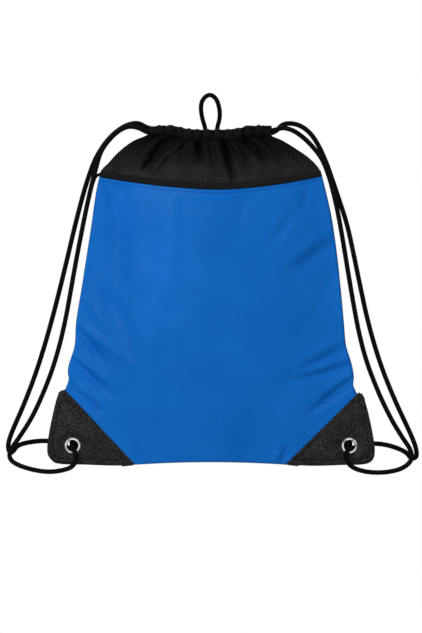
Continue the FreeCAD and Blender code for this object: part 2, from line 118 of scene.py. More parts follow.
PATCH_EDGE = {
    -1: (
        (-158.4, 81.7), (-162.8, 80.2), (-166.6, 76.2), (-169.6, 66.5), (-172, 56.6), (-176.4, 34.8),
        (-178.4, 16.8), (-176.4, 8.7), (-168.3, 1.9), (-139.4, 0.5), (-103.4, -0.7), (-82.7, 0.5),
    ),
    1: (
        (160.5, 78.8), (164.2, 76.6), (167.2, 71.2), (170, 62), (172.3, 52.6), (176.6, 31.6),
        (178.4, 14.5), (175.7, 5.1), (167.2, 0.9), (144.4, 0), (109.6, -0.9), (81.1, 0.7),
    ),
}
# Where the hem's top edge lies and where its gathers stand proud
HEM_TOP = (
    (-67.5, 368), (-62.5, 369.6), (-56.5, 369.3), (-49, 365.4), (-25, 365.4), (-15.2, 363.6),
    (-2.2, 362.9), (18.5, 363.7), (28.3, 365.4), (36.6, 365.8), (47, 368.6), (54.5, 370), (64.5, 367.6),
)
GATHERS = (-57.7, -43.5, -33.7, -24.5, -15.2, -4.4, 8, 18.5, 29.4, 39.2, 53.3)
# How far the wall swells out: height, half width of the swelling, swell
SWELL = (
    (0, 80, 1), (7, 84, 1.6), (30, 105, 8.5), (60, 131, 15), (95, 145, 20),
    (150, 140, 23.5), (210, 133, 24), (270, 124, 22.5), (320, 113, 18),
    (341, 94, 13.5), (358, 70, 8.5), (372, 64, 7.5),
)
# The tape: its lower edge at the left, the middle and the right, and its width
BAND_LOWER = ((-120.4, 313.4), (7.4, 299.2), (119.8, 314.2))
BAND_WIDTH = 6.8
# How far in from a patch's slant its two rows of stitches run
SLANT_ROWS = (4.0, 6.2)
GROMMETS = {-1: (-150.7, 21.2), 1: (150.7, 21.2)}
EYELET_HOLE = 6.6
# Where pieces end to the left and the right
HEM_ENDS = (-67.2, 65.5)
GATHERED_ENDS = (-66.0, 63.0)
TAPE_ENDS = (-120.9, 120.4)
TAPE_SEAMS = (-121.4, 120.9)
# Where pieces end below and above, before the tape's bend is added
PANEL_TOP = 316.0
YOKE_LEVELS = (317.0, 360.5)
# How far the pieces' outer faces stand off the bag's swell, and off the middle plane under an eyelet
CLOTH_FACE = 2.4
PATCH_FACE = 3.3
TAPE_RISE = 1.1
PATCH_UNDER_GROMMET = 2.4
LEAST_DEPTH = 0.3
# Thickness of each material, in metres
CLOTH_THICK = 0.0005
HEM_THICK = 0.0006
TAPE_THICK = 0.0009
PATCH_THICK = 0.0011

# Folds of the blue cloth: from x, height, to x, height, half width, how far they stand out or in
PANEL_FOLDS = (
    (-42, 300, -46, 210, 16, 2.3),
    (-46, 215, -66, 150, 15, 1.6),
    (-66, 150, -73, 92, 14, 1.5),
    (-99, 300, -103, 178, 13, -3.3),
    (80, 285, 76, 130, 27, 1.7),
    (20, 240, 10, 100, 20, -0.9),
    (-142.6, 144.8, -118, 113, 4.5, -2.6),
    (-142, 151.5, -90, 112, 5.5, 2.2),
    (-153.5, 116, -111, 79, 4.2, -3.4),
    (-155, 124, -120, 96, 4.5, 1.4),
    (-156.5, 95, -147.6, 83, 1.9, -3.2),
    (-147, 80, -124, 61, 4.2, -3),
    (-150, 88, -126, 71, 3.5, 1.6),
    (-123.6, 206, -93, 146, 8, -1.8),
    (-130, 175, -108, 140, 6, 1.3),
    (153, 108, 92, 92, 5, -2.4),
    (152, 117, 98, 100.5, 4.5, 1.6),
    (156.5, 95, 146, 89.5, 1.9, -2.6),
    (154.5, 90.5, 112, 60, 4, -3.4),
    (150, 98, 118, 77, 4.5, 1.6),
    (146, 127, 90, 99, 5.5, -1.7),
    (146, 139, 104, 117, 7, 1.6),
    (90.5, 275, 68, 243, 6, -1.8),
    (127.5, 239, 88, 209, 8, -2.2),
    (124, 252, 94, 229, 7, 1.4),
    (131, 205, 112, 165, 8, -1.2),
    (-61.5, 49, -56.5, 42.5, 5, -1.4),
    (-80, 16, -76, 1, 3.2, -1.8),
    (-73, 20, -69, 2, 3.4, 1.1),
    (82, 17, 78, 1, 3.2, -1.8),
    (73, 18, 70, 2, 3.6, 1.2),
    (-112, 300, -104, 275, 5, -1.2),
    (-32, 292, -30, 262, 6, -0.9),
    (34, 292, 30, 255, 7, -1),
    (104, 300, 98, 272, 5, -1.1),
)
# Folds of the mesh, in the same terms
YOKE_FOLDS = (
    (-33, 361, -71, 324.5, 3.2, -6.5),
    (-26, 360, -62, 322, 4, 2.6),
    (-40, 360, -62, 340, 2.8, -4.4),
    (-50, 360, -82, 330, 3.4, 2.2),
    (-62, 359, -100, 335, 3.4, -3.4),
    (-15.2, 359, -11, 334, 3.2, -4.4),
    (-8, 359, -4, 330, 3.4, 2.2),
    (11.5, 360, 24, 311, 3, -6.5),
    (3, 359, 14, 318, 4, 2.4),
    (20, 360, 33, 330, 3.4, 2.4),
    (30.6, 360, 55.5, 334, 3, -6.2),
    (39, 360, 66, 335, 3.4, 2.4),
    (52, 360, 88, 340, 3.6, -3.6),
    (0, 345, -2, 318, 6, 1.2),
)


# Numbers along a line
def smooth(value):
    """0 to 1 with soft ends, for a value from 0 to 1."""
    value = min(max(value, 0.0), 1.0)
    return value * value * (3 - 2 * value)


def mix(low, high, share):
    """The number that lies a share of the way between two."""
    return low + (high - low) * share


def table_at(table, key):
    """A row of a table, read between two rows by its first number, without the first number."""
    if key <= table[0][0]:
        return table[0][1:]
    for low, high in zip(table, table[1:]):
        if key <= high[0]:
            share = (key - low[0]) / (high[0] - low[0])
            return tuple(mix(a, b, share) for a, b in zip(low[1:], high[1:]))
    return table[-1][1:]


def rounded_line(points, count):
    """Points evenly along a smooth line through the given points."""
    rows = np.array(points, float)
    tangents = np.gradient(rows, axis=0)
    dense = [rows[0]]
    for i in range(len(rows) - 1):
        span = np.linalg.norm(rows[i + 1] - rows[i])
        handles = []
        for k, sign in ((i, 1), (i + 1, -1)):
            direction = tangents[k] / max(np.linalg.norm(tangents[k]), 1e-9)
            handles.append(rows[k] + sign * direction * span / 3)
        for step in range(1, 17):
            t = step / 16
            dense.append(
                (1 - t) ** 3 * rows[i]
                + 3 * (1 - t) ** 2 * t * handles[0]
                + 3 * (1 - t) * t * t * handles[1]
                + t**3 * rows[i + 1]
            )
    dense = np.array(dense)
    reach = np.concatenate([[0], np.cumsum(np.linalg.norm(np.diff(dense, axis=0), axis=1))])
    places = np.linspace(0, reach[-1], count)
    return np.stack([np.interp(places, reach, dense[:, k]) for k in range(rows.shape[1])], axis=1)


def edge_at(edge, height):
    """How far out an outline lies at a height."""
    return float(np.interp(height, [row[1] for row in edge], [row[0] for row in edge]))


def sorted_edge(edge, count=160):
    """An outline as finely spaced rows, in order of height."""
    rows = rounded_line(edge, count)
    return rows[np.argsort(rows[:, 1])]


# The surface of the cloth
FOLD_STRENGTH = 1.6


def fold_depth(folds, x, height):
    """How far folds push the cloth out at a place."""
    depth = 0.0
    for x1, h1, x2, h2, width, push in folds:
        run_x, run_h = x2 - x1, h2 - h1
        length = math.hypot(run_x, run_h)
        along = ((x - x1) * run_x + (height - h1) * run_h) / length**2
        off = ((x - x1) * run_h - (height - h1) * run_x) / length
        beyond = max(-along, along - 1, 0) * length
        swelling = 0.35 + 0.65 * math.sin(math.pi * min(max(along, 0.08), 0.92))
        fade = math.exp(-((beyond / (1.6 * width)) ** 2)) * swelling
        depth += push * math.exp(-((off / width) ** 2)) * fade
    return FOLD_STRENGTH * depth


def ripple(x, height, seed, size, stretch=1.0):
    """A soft random swell about zero, with hollows of about the given size in millimetres."""
    return noise.noise(Vector((x / size + 13.7 * seed, height / (size * stretch), 5.1 * seed)))


def swell_at(x, height):
    """How far the filled-out cloth stands off the middle plane."""
    half, swell = table_at(SWELL, height)
    share = min(abs(x) / half, 1.0)
    return swell * (1 - share**2) ** 1.35


def cloth_depth(x, height, side, folds=1.0):
    """How far the cloth stands off the middle plane; side is -1 at the front and 1 at the back."""
    depth = CLOTH_FACE + swell_at(x, height)
    if side < 0:
        depth += folds * fold_depth(PANEL_FOLDS, x, height)
    else:
        depth += folds * 0.8 * fold_depth(PANEL_FOLDS, -x, height + 9.0)
    depth += folds * 0.8 * ripple(x, height, 1 + side, 34.0, 1.3)
    depth += folds * 0.12 * ripple(x, height, 4 + side, 11.0, 1.2)
    return max(depth, 0.7)


def gather_phase(x):
    """Runs through a whole number at each gather of the hem."""
    return float(np.interp(x, GATHERS, range(len(GATHERS)), -0.6, len(GATHERS) - 0.4))


def gather_wave(x):
    """1 on a gather of the hem, -1 between two of them."""
    return math.cos(2 * math.pi * gather_phase(x))


def yoke_depth(x, height, side):
    """How far the gathered mesh stands off the middle plane."""
    left, right = edge_at(YOKE_EDGE[-1], height), edge_at(YOKE_EDGE[1], height)
    share = (x - left) / (right - left)
    hem_x = mix(*GATHERED_ENDS, share)
    rise = smooth((height - 309.0) / 42.0)
    depth = CLOTH_FACE + swell_at(x, height)
    turn = 1 if side < 0 else -1
    depth += (0.3 + 1.7 * rise**1.4) * gather_wave(turn * hem_x)
    depth += 1.5 * fold_depth(YOKE_FOLDS, turn * x, height)
    depth += 0.7 * ripple(x, height, 8 + side, 14.0, 2.2)
    return max(depth, 0.8)


def band_lower(x):
    """The height of the tape's lower edge."""
    (x1, h1), (x2, h2), (x3, h3) = BAND_LOWER
    share = (x - x1) / (x2 - x1) if x < x2 else (x - x3) / (x2 - x3)
    end = h1 if x < x2 else h3
    return mix(end, h2, 1 - (1 - min(max(share, 0), 1)) ** 1.7)


# Meshes
def placed(name, data):
    """A new object at the origin, linked to the scene."""
    obj = bpy.data.objects.new(name, data)
    bpy.context.scene.collection.objects.link(obj)
    return obj


@contextlib.contextmanager
def editing(obj):
    """An object's mesh as a BMesh, which is put back at the end."""
    work = bmesh.new()
    work.from_mesh(obj.data)
    yield work
    work.to_mesh(obj.data)
    work.free()


def smooth_faces(mesh):
    """Shades all the faces of a mesh smoothly."""
    mesh.polygons.foreach_set("use_smooth", [True] * len(mesh.polygons))


def mesh_object(name, points, faces, uvs=None):
    """A plain object at the origin. uvs has one pair of metres for each point."""
    mesh = bpy.data.meshes.new(name)
    mesh.from_pydata([tuple(p) for p in points], [], faces)
    mesh.validate()
    if uvs is not None:
        layer = mesh.uv_layers.new(name="UVMap")
        for loop in mesh.loops:
            layer.data[loop.index].uv = uvs[loop.vertex_index]
    smooth_faces(mesh)
    return placed(name, mesh)


def grid_faces(rows, columns, closed=False):
    """Quads of a grid of points stored row by row; closed joins each row's ends."""
    faces = []
    for r in range(rows - 1):
        for c in range(columns if closed else columns - 1):
            n = (c + 1) % columns
            faces.append((r * columns + c, r * columns + n, (r + 1) * columns + n, (r + 1) * columns + c))
    return faces


def point_outwards(obj, side):
    """Turns an open sheet's faces towards the front (-1) or the back (1)."""
    with editing(obj) as work:
        facing = sum(face.normal.y * face.calc_area() for face in work.faces)
        if facing * side < 0:
            bmesh.ops.reverse_faces(work, faces=work.faces)


def thicken(obj, thickness):
    """Gives an open sheet a thickness, inwards, as a real mesh."""
    solid = obj.modifiers.new("Thickness", "SOLIDIFY")
    solid.thickness = thickness
    solid.offset = -1.0
    solid.use_even_offset = False
    solid.use_quality_normals = True
    apply_modifiers(obj)


def apply_modifiers(obj):
    """Replaces an object's mesh by its finished mesh."""
    graph = bpy.context.evaluated_depsgraph_get()
    finished = bpy.data.meshes.new_from_object(obj.evaluated_get(graph), depsgraph=graph)
    finished.name = obj.name
    old = obj.data
    obj.modifiers.clear()
    obj.data = finished
    bpy.data.meshes.remove(old)


def open_holes(obj, spots):
    """Takes out the faces round the eyelets at the given spots."""
    with editing(obj) as work:
        doomed = []
        for face in work.faces:
            centre = face.calc_center_median() / MM
            if any(math.hypot(centre.x - x, centre.z + HANG_HEIGHT - h) < EYELET_HOLE for x, h in spots):
                doomed.append(face)
        bmesh.ops.delete(work, geom=doomed, context="FACES")


def finish_piece(obj, material, body="bag", nodes=()):
    """Paints a piece, takes over from CAD nodes and makes it move with a body."""
    obj.data.materials.clear()
    obj.data.materials.append(material)
    if nodes:
        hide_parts(*nodes)
    if body:
        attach(obj, body)


def sweep(name, centre, section_at, closed_ends=False):
    """A tube along a line. section_at(i, share) gives (side, up) pairs in metres round the line."""
    centre = [Vector(p) for p in centre]
    count = len(centre)
    reach = 0.0
    points, uvs = [], []
    side = Vector((0, 1, 0))
    for i, here in enumerate(centre):
        ahead = (centre[min(i + 1, count - 1)] - centre[max(i - 1, 0)]).normalized()
        side = (side - ahead * side.dot(ahead)).normalized()
        across = ahead.cross(side)
        if i:
            reach += (here - centre[i - 1]).length
        section = section_at(i, i / (count - 1))
        around = 0.0
        for k, (a, b) in enumerate(section):
            if k:
                around += math.dist(section[k], section[k - 1])
            points.append(here + side * a + across * b)
            uvs.append((around, reach))
    ring = len(section)
    faces = grid_faces(count, ring, closed=True)
    if closed_ends:
        faces.append(tuple(range(ring))[::-1])
        faces.append(tuple(range((count - 1) * ring, count * ring)))
    obj = mesh_object(name, points, faces, uvs)
    turn_out(obj)
    return obj


def turn_out(obj):
    """Makes a closed mesh's faces look outwards."""
    with editing(obj) as work:
        bmesh.ops.recalc_face_normals(work, faces=work.faces)


# Shaders
class Number:
    """A number of a shader: sums and products of it make Math nodes."""

    def __init__(self, shader, socket):
        self.shader = shader
        self.socket = socket

    def __add__(self, other):
        return self.shader.math("ADD", self, other)

    def __sub__(self, other):
        return self.shader.math("SUBTRACT", self, other)

    def __rsub__(self, other):
        return self.shader.math("SUBTRACT", other, self)

    def __mul__(self, other):
        return self.shader.math("MULTIPLY", self, other)

    def __truediv__(self, other):
        return self.shader.math("DIVIDE", self, other)

    __radd__ = __add__
    __rmul__ = __mul__

    def most(self, other):
        return self.shader.math("MAXIMUM", self, other)

    def least(self, other):
        return self.shader.math("MINIMUM", self, other)

    def wave(self, pitch):
        """0 to 1 and back once in each pitch, in straight lines."""
        return self.shader.math("PINGPONG", self, pitch / 2) * (2 / pitch)

    def step(self, low, high):
        """0 below low, 1 above high, smooth between."""
        node = self.shader.add(
            "ShaderNodeMapRange",
            {"interpolation_type": "SMOOTHSTEP"},
            {"Value": self, "From Min": low, "From Max": high},
        )
        return Number(self.shader, node.outputs["Result"])


class Shader:
    """A material whose nodes are all made by add()."""

    def __init__(self, name):
        self.material = bpy.data.materials.new(name)
        self.material.use_nodes = True
        self.tree = self.material.node_tree
        self.surface = next(n for n in self.tree.nodes if n.type == "BSDF_PRINCIPLED")
        self.coordinates = self.add("ShaderNodeTexCoord")

    def add(self, kind, settings=None, inputs=None):
        node = self.tree.nodes.new(kind)
        for key, value in (settings or {}).items():
            setattr(node, key, value)
        for key, value in (inputs or {}).items():
            self.feed(node.inputs[key], value)
        return node

    def feed(self, socket, value):
        value = value.socket if isinstance(value, Number) else value
        if isinstance(value, bpy.types.NodeSocket):
            self.tree.links.new(value, socket)
        else:
            socket.default_value = value

    def math(self, operation, *values):
        node = self.add("ShaderNodeMath", {"operation": operation}, dict(enumerate(values)))
        return Number(self, node.outputs[0])

    def across_and_up(self):
        """The two numbers of a place on the piece's own map, in metres."""
        node = self.add("ShaderNodeSeparateXYZ", inputs={0: self.coordinates.outputs["UV"]})
        return [Number(self, out) for out in node.outputs[:2]]

    def stretched(self, scale):
        """A place in the object, scaled alike on all axes by a number or on each axis by three."""
        scale = scale if isinstance(scale, tuple) else (scale,) * 3
        node = self.add(
            "ShaderNodeVectorMath",
            {"operation": "MULTIPLY"},
            {0: self.coordinates.outputs["Object"], 1: scale},
        )
        return node.outputs[0]

    def noise(self, scale, detail=3.0, roughness=0.55):
        """Soft random tone from 0 to 1; scale is its count per metre."""
        inputs = {"Vector": self.stretched(scale), "Scale": 1.0, "Detail": detail, "Roughness": roughness}
        return Number(self, self.add("ShaderNodeTexNoise", {}, inputs).outputs[0])

    def cells(self, scale):
        """The distance to the nearest of many scattered points."""
        inputs = {"Vector": self.stretched(scale), "Scale": 1.0}
        node = self.add("ShaderNodeTexVoronoi", {"feature": "SMOOTH_F1"}, inputs)
        return Number(self, node.outputs["Distance"])

    def blend(self, share, first, second):
        """A colour between two, by a share from 0 to 1."""
        node = self.add("ShaderNodeMix", {"data_type": "RGBA"})
        self.feed(node.inputs["Factor"], share)
        colour_inputs = [s for s in node.inputs if s.type == "RGBA"]
        for socket, colour in zip(colour_inputs, (first, second)):
            self.feed(socket, (*colour, 1.0) if isinstance(colour, tuple) else colour)
        return next(s for s in node.outputs if s.type == "RGBA")

    def relief(self, height, distance, strength=1.0):
        """Bumps of the surface; distance is their depth in metres."""
        node = self.add(
            "ShaderNodeBump", {}, {"Height": height, "Distance": distance, "Strength": strength}
        )
        self.feed(self.surface.inputs["Normal"], node.outputs["Normal"])

    def settle(self, colour, roughness, **constants):
        """Base colour, roughness and any constant inputs, by name with _ for a space."""
        self.feed(self.surface.inputs["Base Color"], colour)
        self.feed(self.surface.inputs["Roughness"], roughness)
        for name, value in constants.items():
            self.surface.inputs[name.replace("_", " ")].default_value = value
        return self.material


def blue_cloth(settings):
    """Satin polyester: a fine weave, soft streaks and a slight sheen."""
    shader = Shader("blue cloth")
    across, up = shader.across_and_up()
    pitch = 0.0009
    weave = across.wave(pitch).most(up.wave(pitch)) * 0.6
    grain = shader.noise(900.0, 2.0)
    streaks = shader.noise((30.0, 30.0, 22.0), 4.0, 0.6)
    cloud = shader.noise((11.0, 11.0, 8.0), 2.0)
    tone = (streaks * 0.25 + cloud * 0.4 + grain * 0.35).step(0.15, 0.85)
    colour = shader.blend(tone, settings.cloth_shade[:], settings.cloth_light[:])
    creases = shader.noise((48.0, 48.0, 40.0), 3.0, 0.5)
    shader.relief(weave * 0.06 + grain * 0.14 + creases * 0.5, 0.0011)
    roughness = streaks * 0.1 + grain * 0.08 + 0.36
    return shader.settle(colour, roughness, Specular_IOR_Level=0.06, Sheen_Weight=0.02, Sheen_Roughness=0.4)


def open_mesh(settings):
    """Knitted net: slanting threads round small dark holes. The threads vary in random patches, and they are
    painted darker toward the gathered top as painted shade.
    """
    shader = Shader("open mesh")
    across, up = shader.across_and_up()
    pitch = settings.mesh_pitch
    wander = (shader.noise(60.0, 2.0) - 0.5) * 0.0012
    rising = (across + up + wander).wave(pitch)
    falling = (across - up + wander).wave(pitch)
    threads = rising.most(falling).step(0.66, 0.9)
    knots = rising.least(falling).step(0.35, 0.75)
    # Random patches of the threads' tone, multiplied by painted shade that darkens the threads toward the
    # gathered top of the mesh. The roughness follows it too.
    patchy_and_painted_top_shade = shader.noise((90.0, 90.0, 60.0), 3.0) * (1.4 - up.step(-0.005, 0.05) * 1.25)
    tone = (threads * 0.7 + knots * 0.4) * (patchy_and_painted_top_shade * 1.2 + 0.15)
    colour = shader.blend(tone, settings.black[:], settings.mesh_thread[:])
    shader.relief(threads * 0.8 + knots * 0.5, 0.0005, 0.8)
    return shader.settle(colour, patchy_and_painted_top_shade * 0.2 + 0.5, Specular_IOR_Level=0.03)


def woven_tape(settings):
    """Grosgrain: close ribs across the tape, a little worn. The tops of the ribs are painted lighter as a
    highlight, and the grooves between them are painted darker as painted shade.
    """
    shader = Shader("woven tape")
    across, up = shader.across_and_up()
    ribs = up.wave(0.0011)
    fibre = shader.noise(900.0, 2.0)
    worn = shader.noise(80.0, 3.0)
    # Painted highlight on the tops of the ribs and painted shade in the grooves, with random fibre and wear.
    colour = shader.blend(ribs * 0.5 + fibre * 0.3 + worn * 0.25, settings.black[:], settings.tape_rib_highlight_and_wear[:])
    shader.relief(ribs * 0.8 + fibre * 0.4, 0.00035)
    return shader.settle(colour, fibre * 0.15 + 0.5, Specular_IOR_Level=0.06)


def grained_vinyl(settings):
    """Imitation leather: rounded pebbles with fine creases between them. The tops of the pebbles are painted
    lighter as a highlight, and the creases are painted darker as painted shade.
    """
    shader = Shader("grained vinyl")
    pebbles = shader.cells(620.0)
    small = shader.cells(1500.0)
    bend = shader.noise(60.0, 3.0)
    height = 1.0 - pebbles * 1.1 - small * 0.35
    # Painted highlight on the tops of the pebbles and painted shade in the creases: the colour follows the
    # height of the bumps.
    painted_crest_highlight = (height + bend * 0.5).step(0.5, 1.0)
    colour = shader.blend(painted_crest_highlight * 0.85 + 0.1, settings.black[:], settings.vinyl_crest_highlight[:])
    shader.relief(height + bend * 1.4, 0.0006)
    return shader.settle(colour, pebbles * 0.25 + 0.38, Specular_IOR_Level=0.10)


def polished_metal(settings):
    """Bright plating: turned marks and faint hazing, with dark patches of painted reflection where the rings
    would reflect dark surroundings; one noise makes both.
    """
    shader = Shader("polished metal")
    haze_and_painted_reflection = shader.noise(180.0, 4.0)
    marks = shader.noise((2500.0, 300.0, 2500.0), 2.0)
    # Painted reflection: the noise blends in a dark tone where the rings would reflect dark surroundings.
    # The same noise varies the roughness and the bumps.
    colour = shader.blend(haze_and_painted_reflection.step(0.36, 0.56), settings.metal_shade[:], settings.metal_light[:])
    shader.relief(marks * 0.4 + haze_and_painted_reflection * 0.4, 0.00006)
    return shader.settle(colour, haze_and_painted_reflection * 0.14 + marks * 0.06 + 0.1, Metallic=1.0)


def braided_cord(settings):
    """A braid: strands that cross on a slant, each rounded. The crowns of the strands are painted lighter as
    a highlight, and the grooves between them are painted darker as painted shade.
    """
    shader = Shader("braided cord")
    around, along = shader.across_and_up()
    turn = math.tau * settings.cord_diameter / 2
    strands = around / turn * 6
    slant = along * 420.0
    rising = (strands + slant).wave(1.0)
    falling = (strands - slant).wave(1.0)
    braid = rising.most(falling)
    fibre = shader.noise(1200.0, 2.0)
    wear = shader.noise(45.0, 3.0)
    # Painted highlight on the crowns of the strands and painted shade in the grooves, with random fibre and
    # wear.
    tone = (braid.step(0.35, 1.0) * 0.7 + fibre * 0.3) * (wear * 0.8 + 0.5)
    colour = shader.blend(tone, settings.black[:], settings.cord_crown_highlight_and_wear[:])
    shader.relief(braid * 0.9 + fibre * 0.3, 0.0004)
    return shader.settle(colour, fibre * 0.2 + 0.55, Specular_IOR_Level=0.03)


def twisted_thread(name, dark, light, roughness):
    """Sewing thread: its twist runs from a dark tone to a light one."""
    shader = Shader(name)
    twist = shader.noise(2600.0, 2.0)
    colour = shader.blend(twist, dark[:], light[:])
    shader.relief(twist, 0.0001)
    return shader.settle(colour, twist * 0.2 + roughness, Specular_IOR_Level=0.1)


def sewing_thread(settings):
    """The thread on the black pieces."""
    return twisted_thread("sewing thread", settings.black, settings.thread_light, 0.45)


def blue_thread(settings):
    """The thread on the blue cloth, in a darker blue."""
    return twisted_thread("blue thread", settings.blue_thread, settings.cloth_shade, 0.4)


def pale_floor(settings):
    """A studio floor, almost white, with a faint mottle."""
    shader = Shader("pale floor")
    mottle = shader.noise(3.0, 3.0)
    colour = shader.blend(mottle, (0.80, 0.80, 0.80), (0.86, 0.86, 0.86))
    return shader.settle(colour, mottle * 0.1 + 0.7, Specular_IOR_Level=0.2)


MATERIALS = {
    "cloth": blue_cloth,
    "mesh": open_mesh,
    "tape": woven_tape,
    "vinyl": grained_vinyl,
    "metal": polished_metal,
    "cord": braided_cord,
    "thread": sewing_thread,
    "blue_thread": blue_thread,
    "floor": pale_floor,
}
made_materials = {}


def material(key):
    """One of the materials, made when first asked for."""
    if key not in made_materials:
        made_materials[key] = MATERIALS[key](bpy.context.scene.backpack_finish)
    return made_materials[key]


# Surfaces of the sewn bag: depths are measured from the middle plane, both ways
EDGE_ROLL = 6.0
FLAT_UNDER_GROMMET = 1.4
SEAM_HEIGHT = 0.4


def bottom_edge(x):
    """The height of the bottom seam, a little arched between the patches."""
    return SEAM_HEIGHT + 2.6 * max(1 - (x / 80.0) ** 2, 0.0)


def rolled(distance, width=EDGE_ROLL):
    """0 on a seam, rising roundly to 1 at a width from it."""
    share = min(max(distance / width, 0.0), 1.0)
    return math.sqrt(1 - (1 - share) ** 2)


def flat_round_grommet(x, height):
    """0 under a grommet's flange, 1 well away from it."""
    nearest = min(math.hypot(x - gx, height - gh) for gx, gh in GROMMETS.values())
    return smooth((nearest - 9.0) / 9.0)


def beyond_slant(x, height):
    """How far a place lies in under its side's corner patch; below 0 it is out on the blue cloth."""
    start, end = (Vector(PATCH_EDGE[-1 if x < 0 else 1][i]) for i in (0, -1))
    run = (end - start).normalized()
    return (Vector((x, height)) - start).cross(run) * (1 if x < 0 else -1)


def panel_depth(x, height, side, left, right):
    """The blue cloth, rolled in at its seams and held flat under the patches and the tape."""
    covered = beyond_slant(x, height)
    loose = smooth((band_lower(x) + 2.0 - height) / 16.0) * mix(0.35, 1.0, smooth((1.0 - covered) / 12.0))
    free = cloth_depth(x, height, side, loose) - 0.9 * smooth(covered / 4.0)
    depth = max(mix(FLAT_UNDER_GROMMET, free, flat_round_grommet(x, height)), LEAST_DEPTH)
    return depth * rolled(min(x - left, right - x, height - bottom_edge(x)), 4.0)


def side_of(obj_name):
    """-1 for a piece of the front, 1 for one of the back."""
    return -1 if obj_name.startswith("front") else 1


def make_panel(name, columns, rows):
    """One blue panel, from the bottom seam to under the tape."""
    side = side_of(name)
    edges = {turn: sorted_edge(BAG_EDGE[turn]) for turn in (-1, 1)}
    points, uvs = [], []
    for r in range(rows):
        level = mix(SEAM_HEIGHT, PANEL_TOP, (r / (rows - 1)) ** 1.04)
        left, right = edge_at(edges[-1], level), edge_at(edges[1], level)
        for c in range(columns):
            share = c / (columns - 1)
            share = mix(share, 0.5 - 0.5 * math.cos(math.pi * share), 0.35)
            x = mix(left, right, share)
            height = level + smooth((level - 236.0) / 80.0) * (band_lower(x) + 3.2 - PANEL_TOP)
            height += (1 - smooth(level / 34.0)) * (bottom_edge(x) - SEAM_HEIGHT)
            depth = panel_depth(x, height, side, left, right)
            points.append(spot(x, height, side * depth))
            uvs.append((x * MM, height * MM))
    return mesh_object(name, points, grid_faces(rows, columns), uvs)


def hem_height(x):
    """The height of a hem's centre line."""
    return 364.0 - 5.0 * smooth((46.0 - abs(x)) / 26.0)


def hem_depth(x):
    """How far a hem's centre line stands off the middle plane."""
    return 6.0 + 10.0 * smooth((46.0 - abs(x)) / 26.0)


YOKE_FLAT = (0.246, 0.058)


def make_yoke(name, columns, rows):
    """The gathered mesh, from under the tape up into the hem."""
    side = side_of(name)
    edges = {turn: sorted_edge(YOKE_EDGE[turn]) for turn in (-1, 1)}
    points, uvs = [], []
    for r in range(rows):
        rise = r / (rows - 1)
        level = mix(*YOKE_LEVELS, rise)
        left, right = edge_at(edges[-1], level), edge_at(edges[1], level)
        for c in range(columns):
            share = c / (columns - 1)
            x = mix(left, right, share)
            height = mix(band_lower(x) + 3.0, hem_height(x) - 3.2, rise)
            in_hem = hem_depth(x) + 0.4 * gather_wave(x)
            depth = mix(yoke_depth(x, height, side), in_hem, smooth((rise - 0.8) / 0.2))
            edge = mix(rolled(min(x - left, right - x), 4.0), 1.0, smooth((rise - 0.82) / 0.18))
            points.append(spot(x, height, side * depth * edge))
            uvs.append(((share - 0.5) * YOKE_FLAT[0], rise * YOKE_FLAT[1]))
    return mesh_object(name, points, grid_faces(rows, columns), uvs)


def make_hem(name):
    """The hem that the cords run through: a tube of gathered mesh, open at both ends."""
    side = side_of(name)
    turn = 1 if side < 0 else -1
    ring = 26
    stations = [mix(*HEM_ENDS, i / 269) for i in range(270)]

    def section_at(i, share):
        x = turn * stations[i]
        flare = math.exp(-((min(share, 1 - share) * 132 / 4.5) ** 2))
        wave = gather_wave(x)
        crease = max(-wave, 0.0) ** 3
        wide = 3.9 + 0.9 * wave - 1.3 * crease + 0.6 * flare + 0.5 * ripple(x, 0.0, 21 + side, 5.0)
        tall = 6.0 + 0.35 * wave - 0.5 * crease + 0.7 * flare
        top = float(np.interp(x, *zip(*HEM_TOP))) - hem_height(x)
        section = []
        for k in range(ring):
            angle = math.tau * k / ring
            a, b = math.cos(angle), math.sin(angle)
            a = math.copysign(abs(a) ** 0.8, a)
            reach = tall if b < 0 else max(mix(tall, top, 0.75), 5.5) + 0.7 * wave - 1.4 * crease
            section.append((a * wide * MM, b * reach * MM))
        return section

    centre = [spot(x, hem_height(x), side * hem_depth(x)) for x in stations]
    obj = sweep(name, centre, section_at)
    layer = obj.data.uv_layers[0].data
    for loop in obj.data.loops:
        station, k = divmod(loop.vertex_index, ring)
        layer[loop.index].uv = (stations[station] * 1.85 * MM, 0.03 + k / ring * 0.034)
    return obj


def band_depth(x, height):
    """The tape's outer face before its own bulge."""
    base = CLOTH_FACE + swell_at(x, height) + TAPE_RISE
    left, right = TAPE_SEAMS
    return 0.4 + (base - 0.4) * rolled(min(x - left, right - x) + 0.6)


def make_tape(name, columns, rows):
    """The tape sewn over the join of the blue cloth and the mesh."""
    side = side_of(name)
    turn = 1 if side < 0 else -1
    points, uvs = [], []
    for r in range(rows):
        share = r / (rows - 1)
        for c in range(columns):
            run = c / (columns - 1)
            lean = mix(0.9, -0.9, run) * share
            x = mix(*TAPE_ENDS, run) + lean
            width = BAND_WIDTH * (1 + 0.05 * ripple(x, 0.0, 31 + side, 18.0))
            height = band_lower(turn * x) + share * width
            bulge = 0.75 * (1 - (2 * share - 1) ** 4) + 0.25 * ripple(x, height, 33 + side, 12.0)
            groove = 0.35 * math.exp(-(((share - 0.72) * 9) ** 2))
            depth = band_depth(x, height) + bulge - groove
            points.append(spot(x, height, side * depth))
            uvs.append((share * BAND_WIDTH * MM, run * 0.25))
    return mesh_object(name, points, grid_faces(rows, columns), uvs)


def to_line(point, start, end):
    """How far a place is from a straight line, in millimetres."""
    run = np.subtract(end, start)
    off = np.subtract(point, start)
    return abs(run[0] * off[1] - run[1] * off[0]) / float(np.hypot(*run))


def patch_rim(hand):
    """A patch's rounded outer edge, finely spaced."""
    return rounded_line(PATCH_EDGE[hand], 2400)


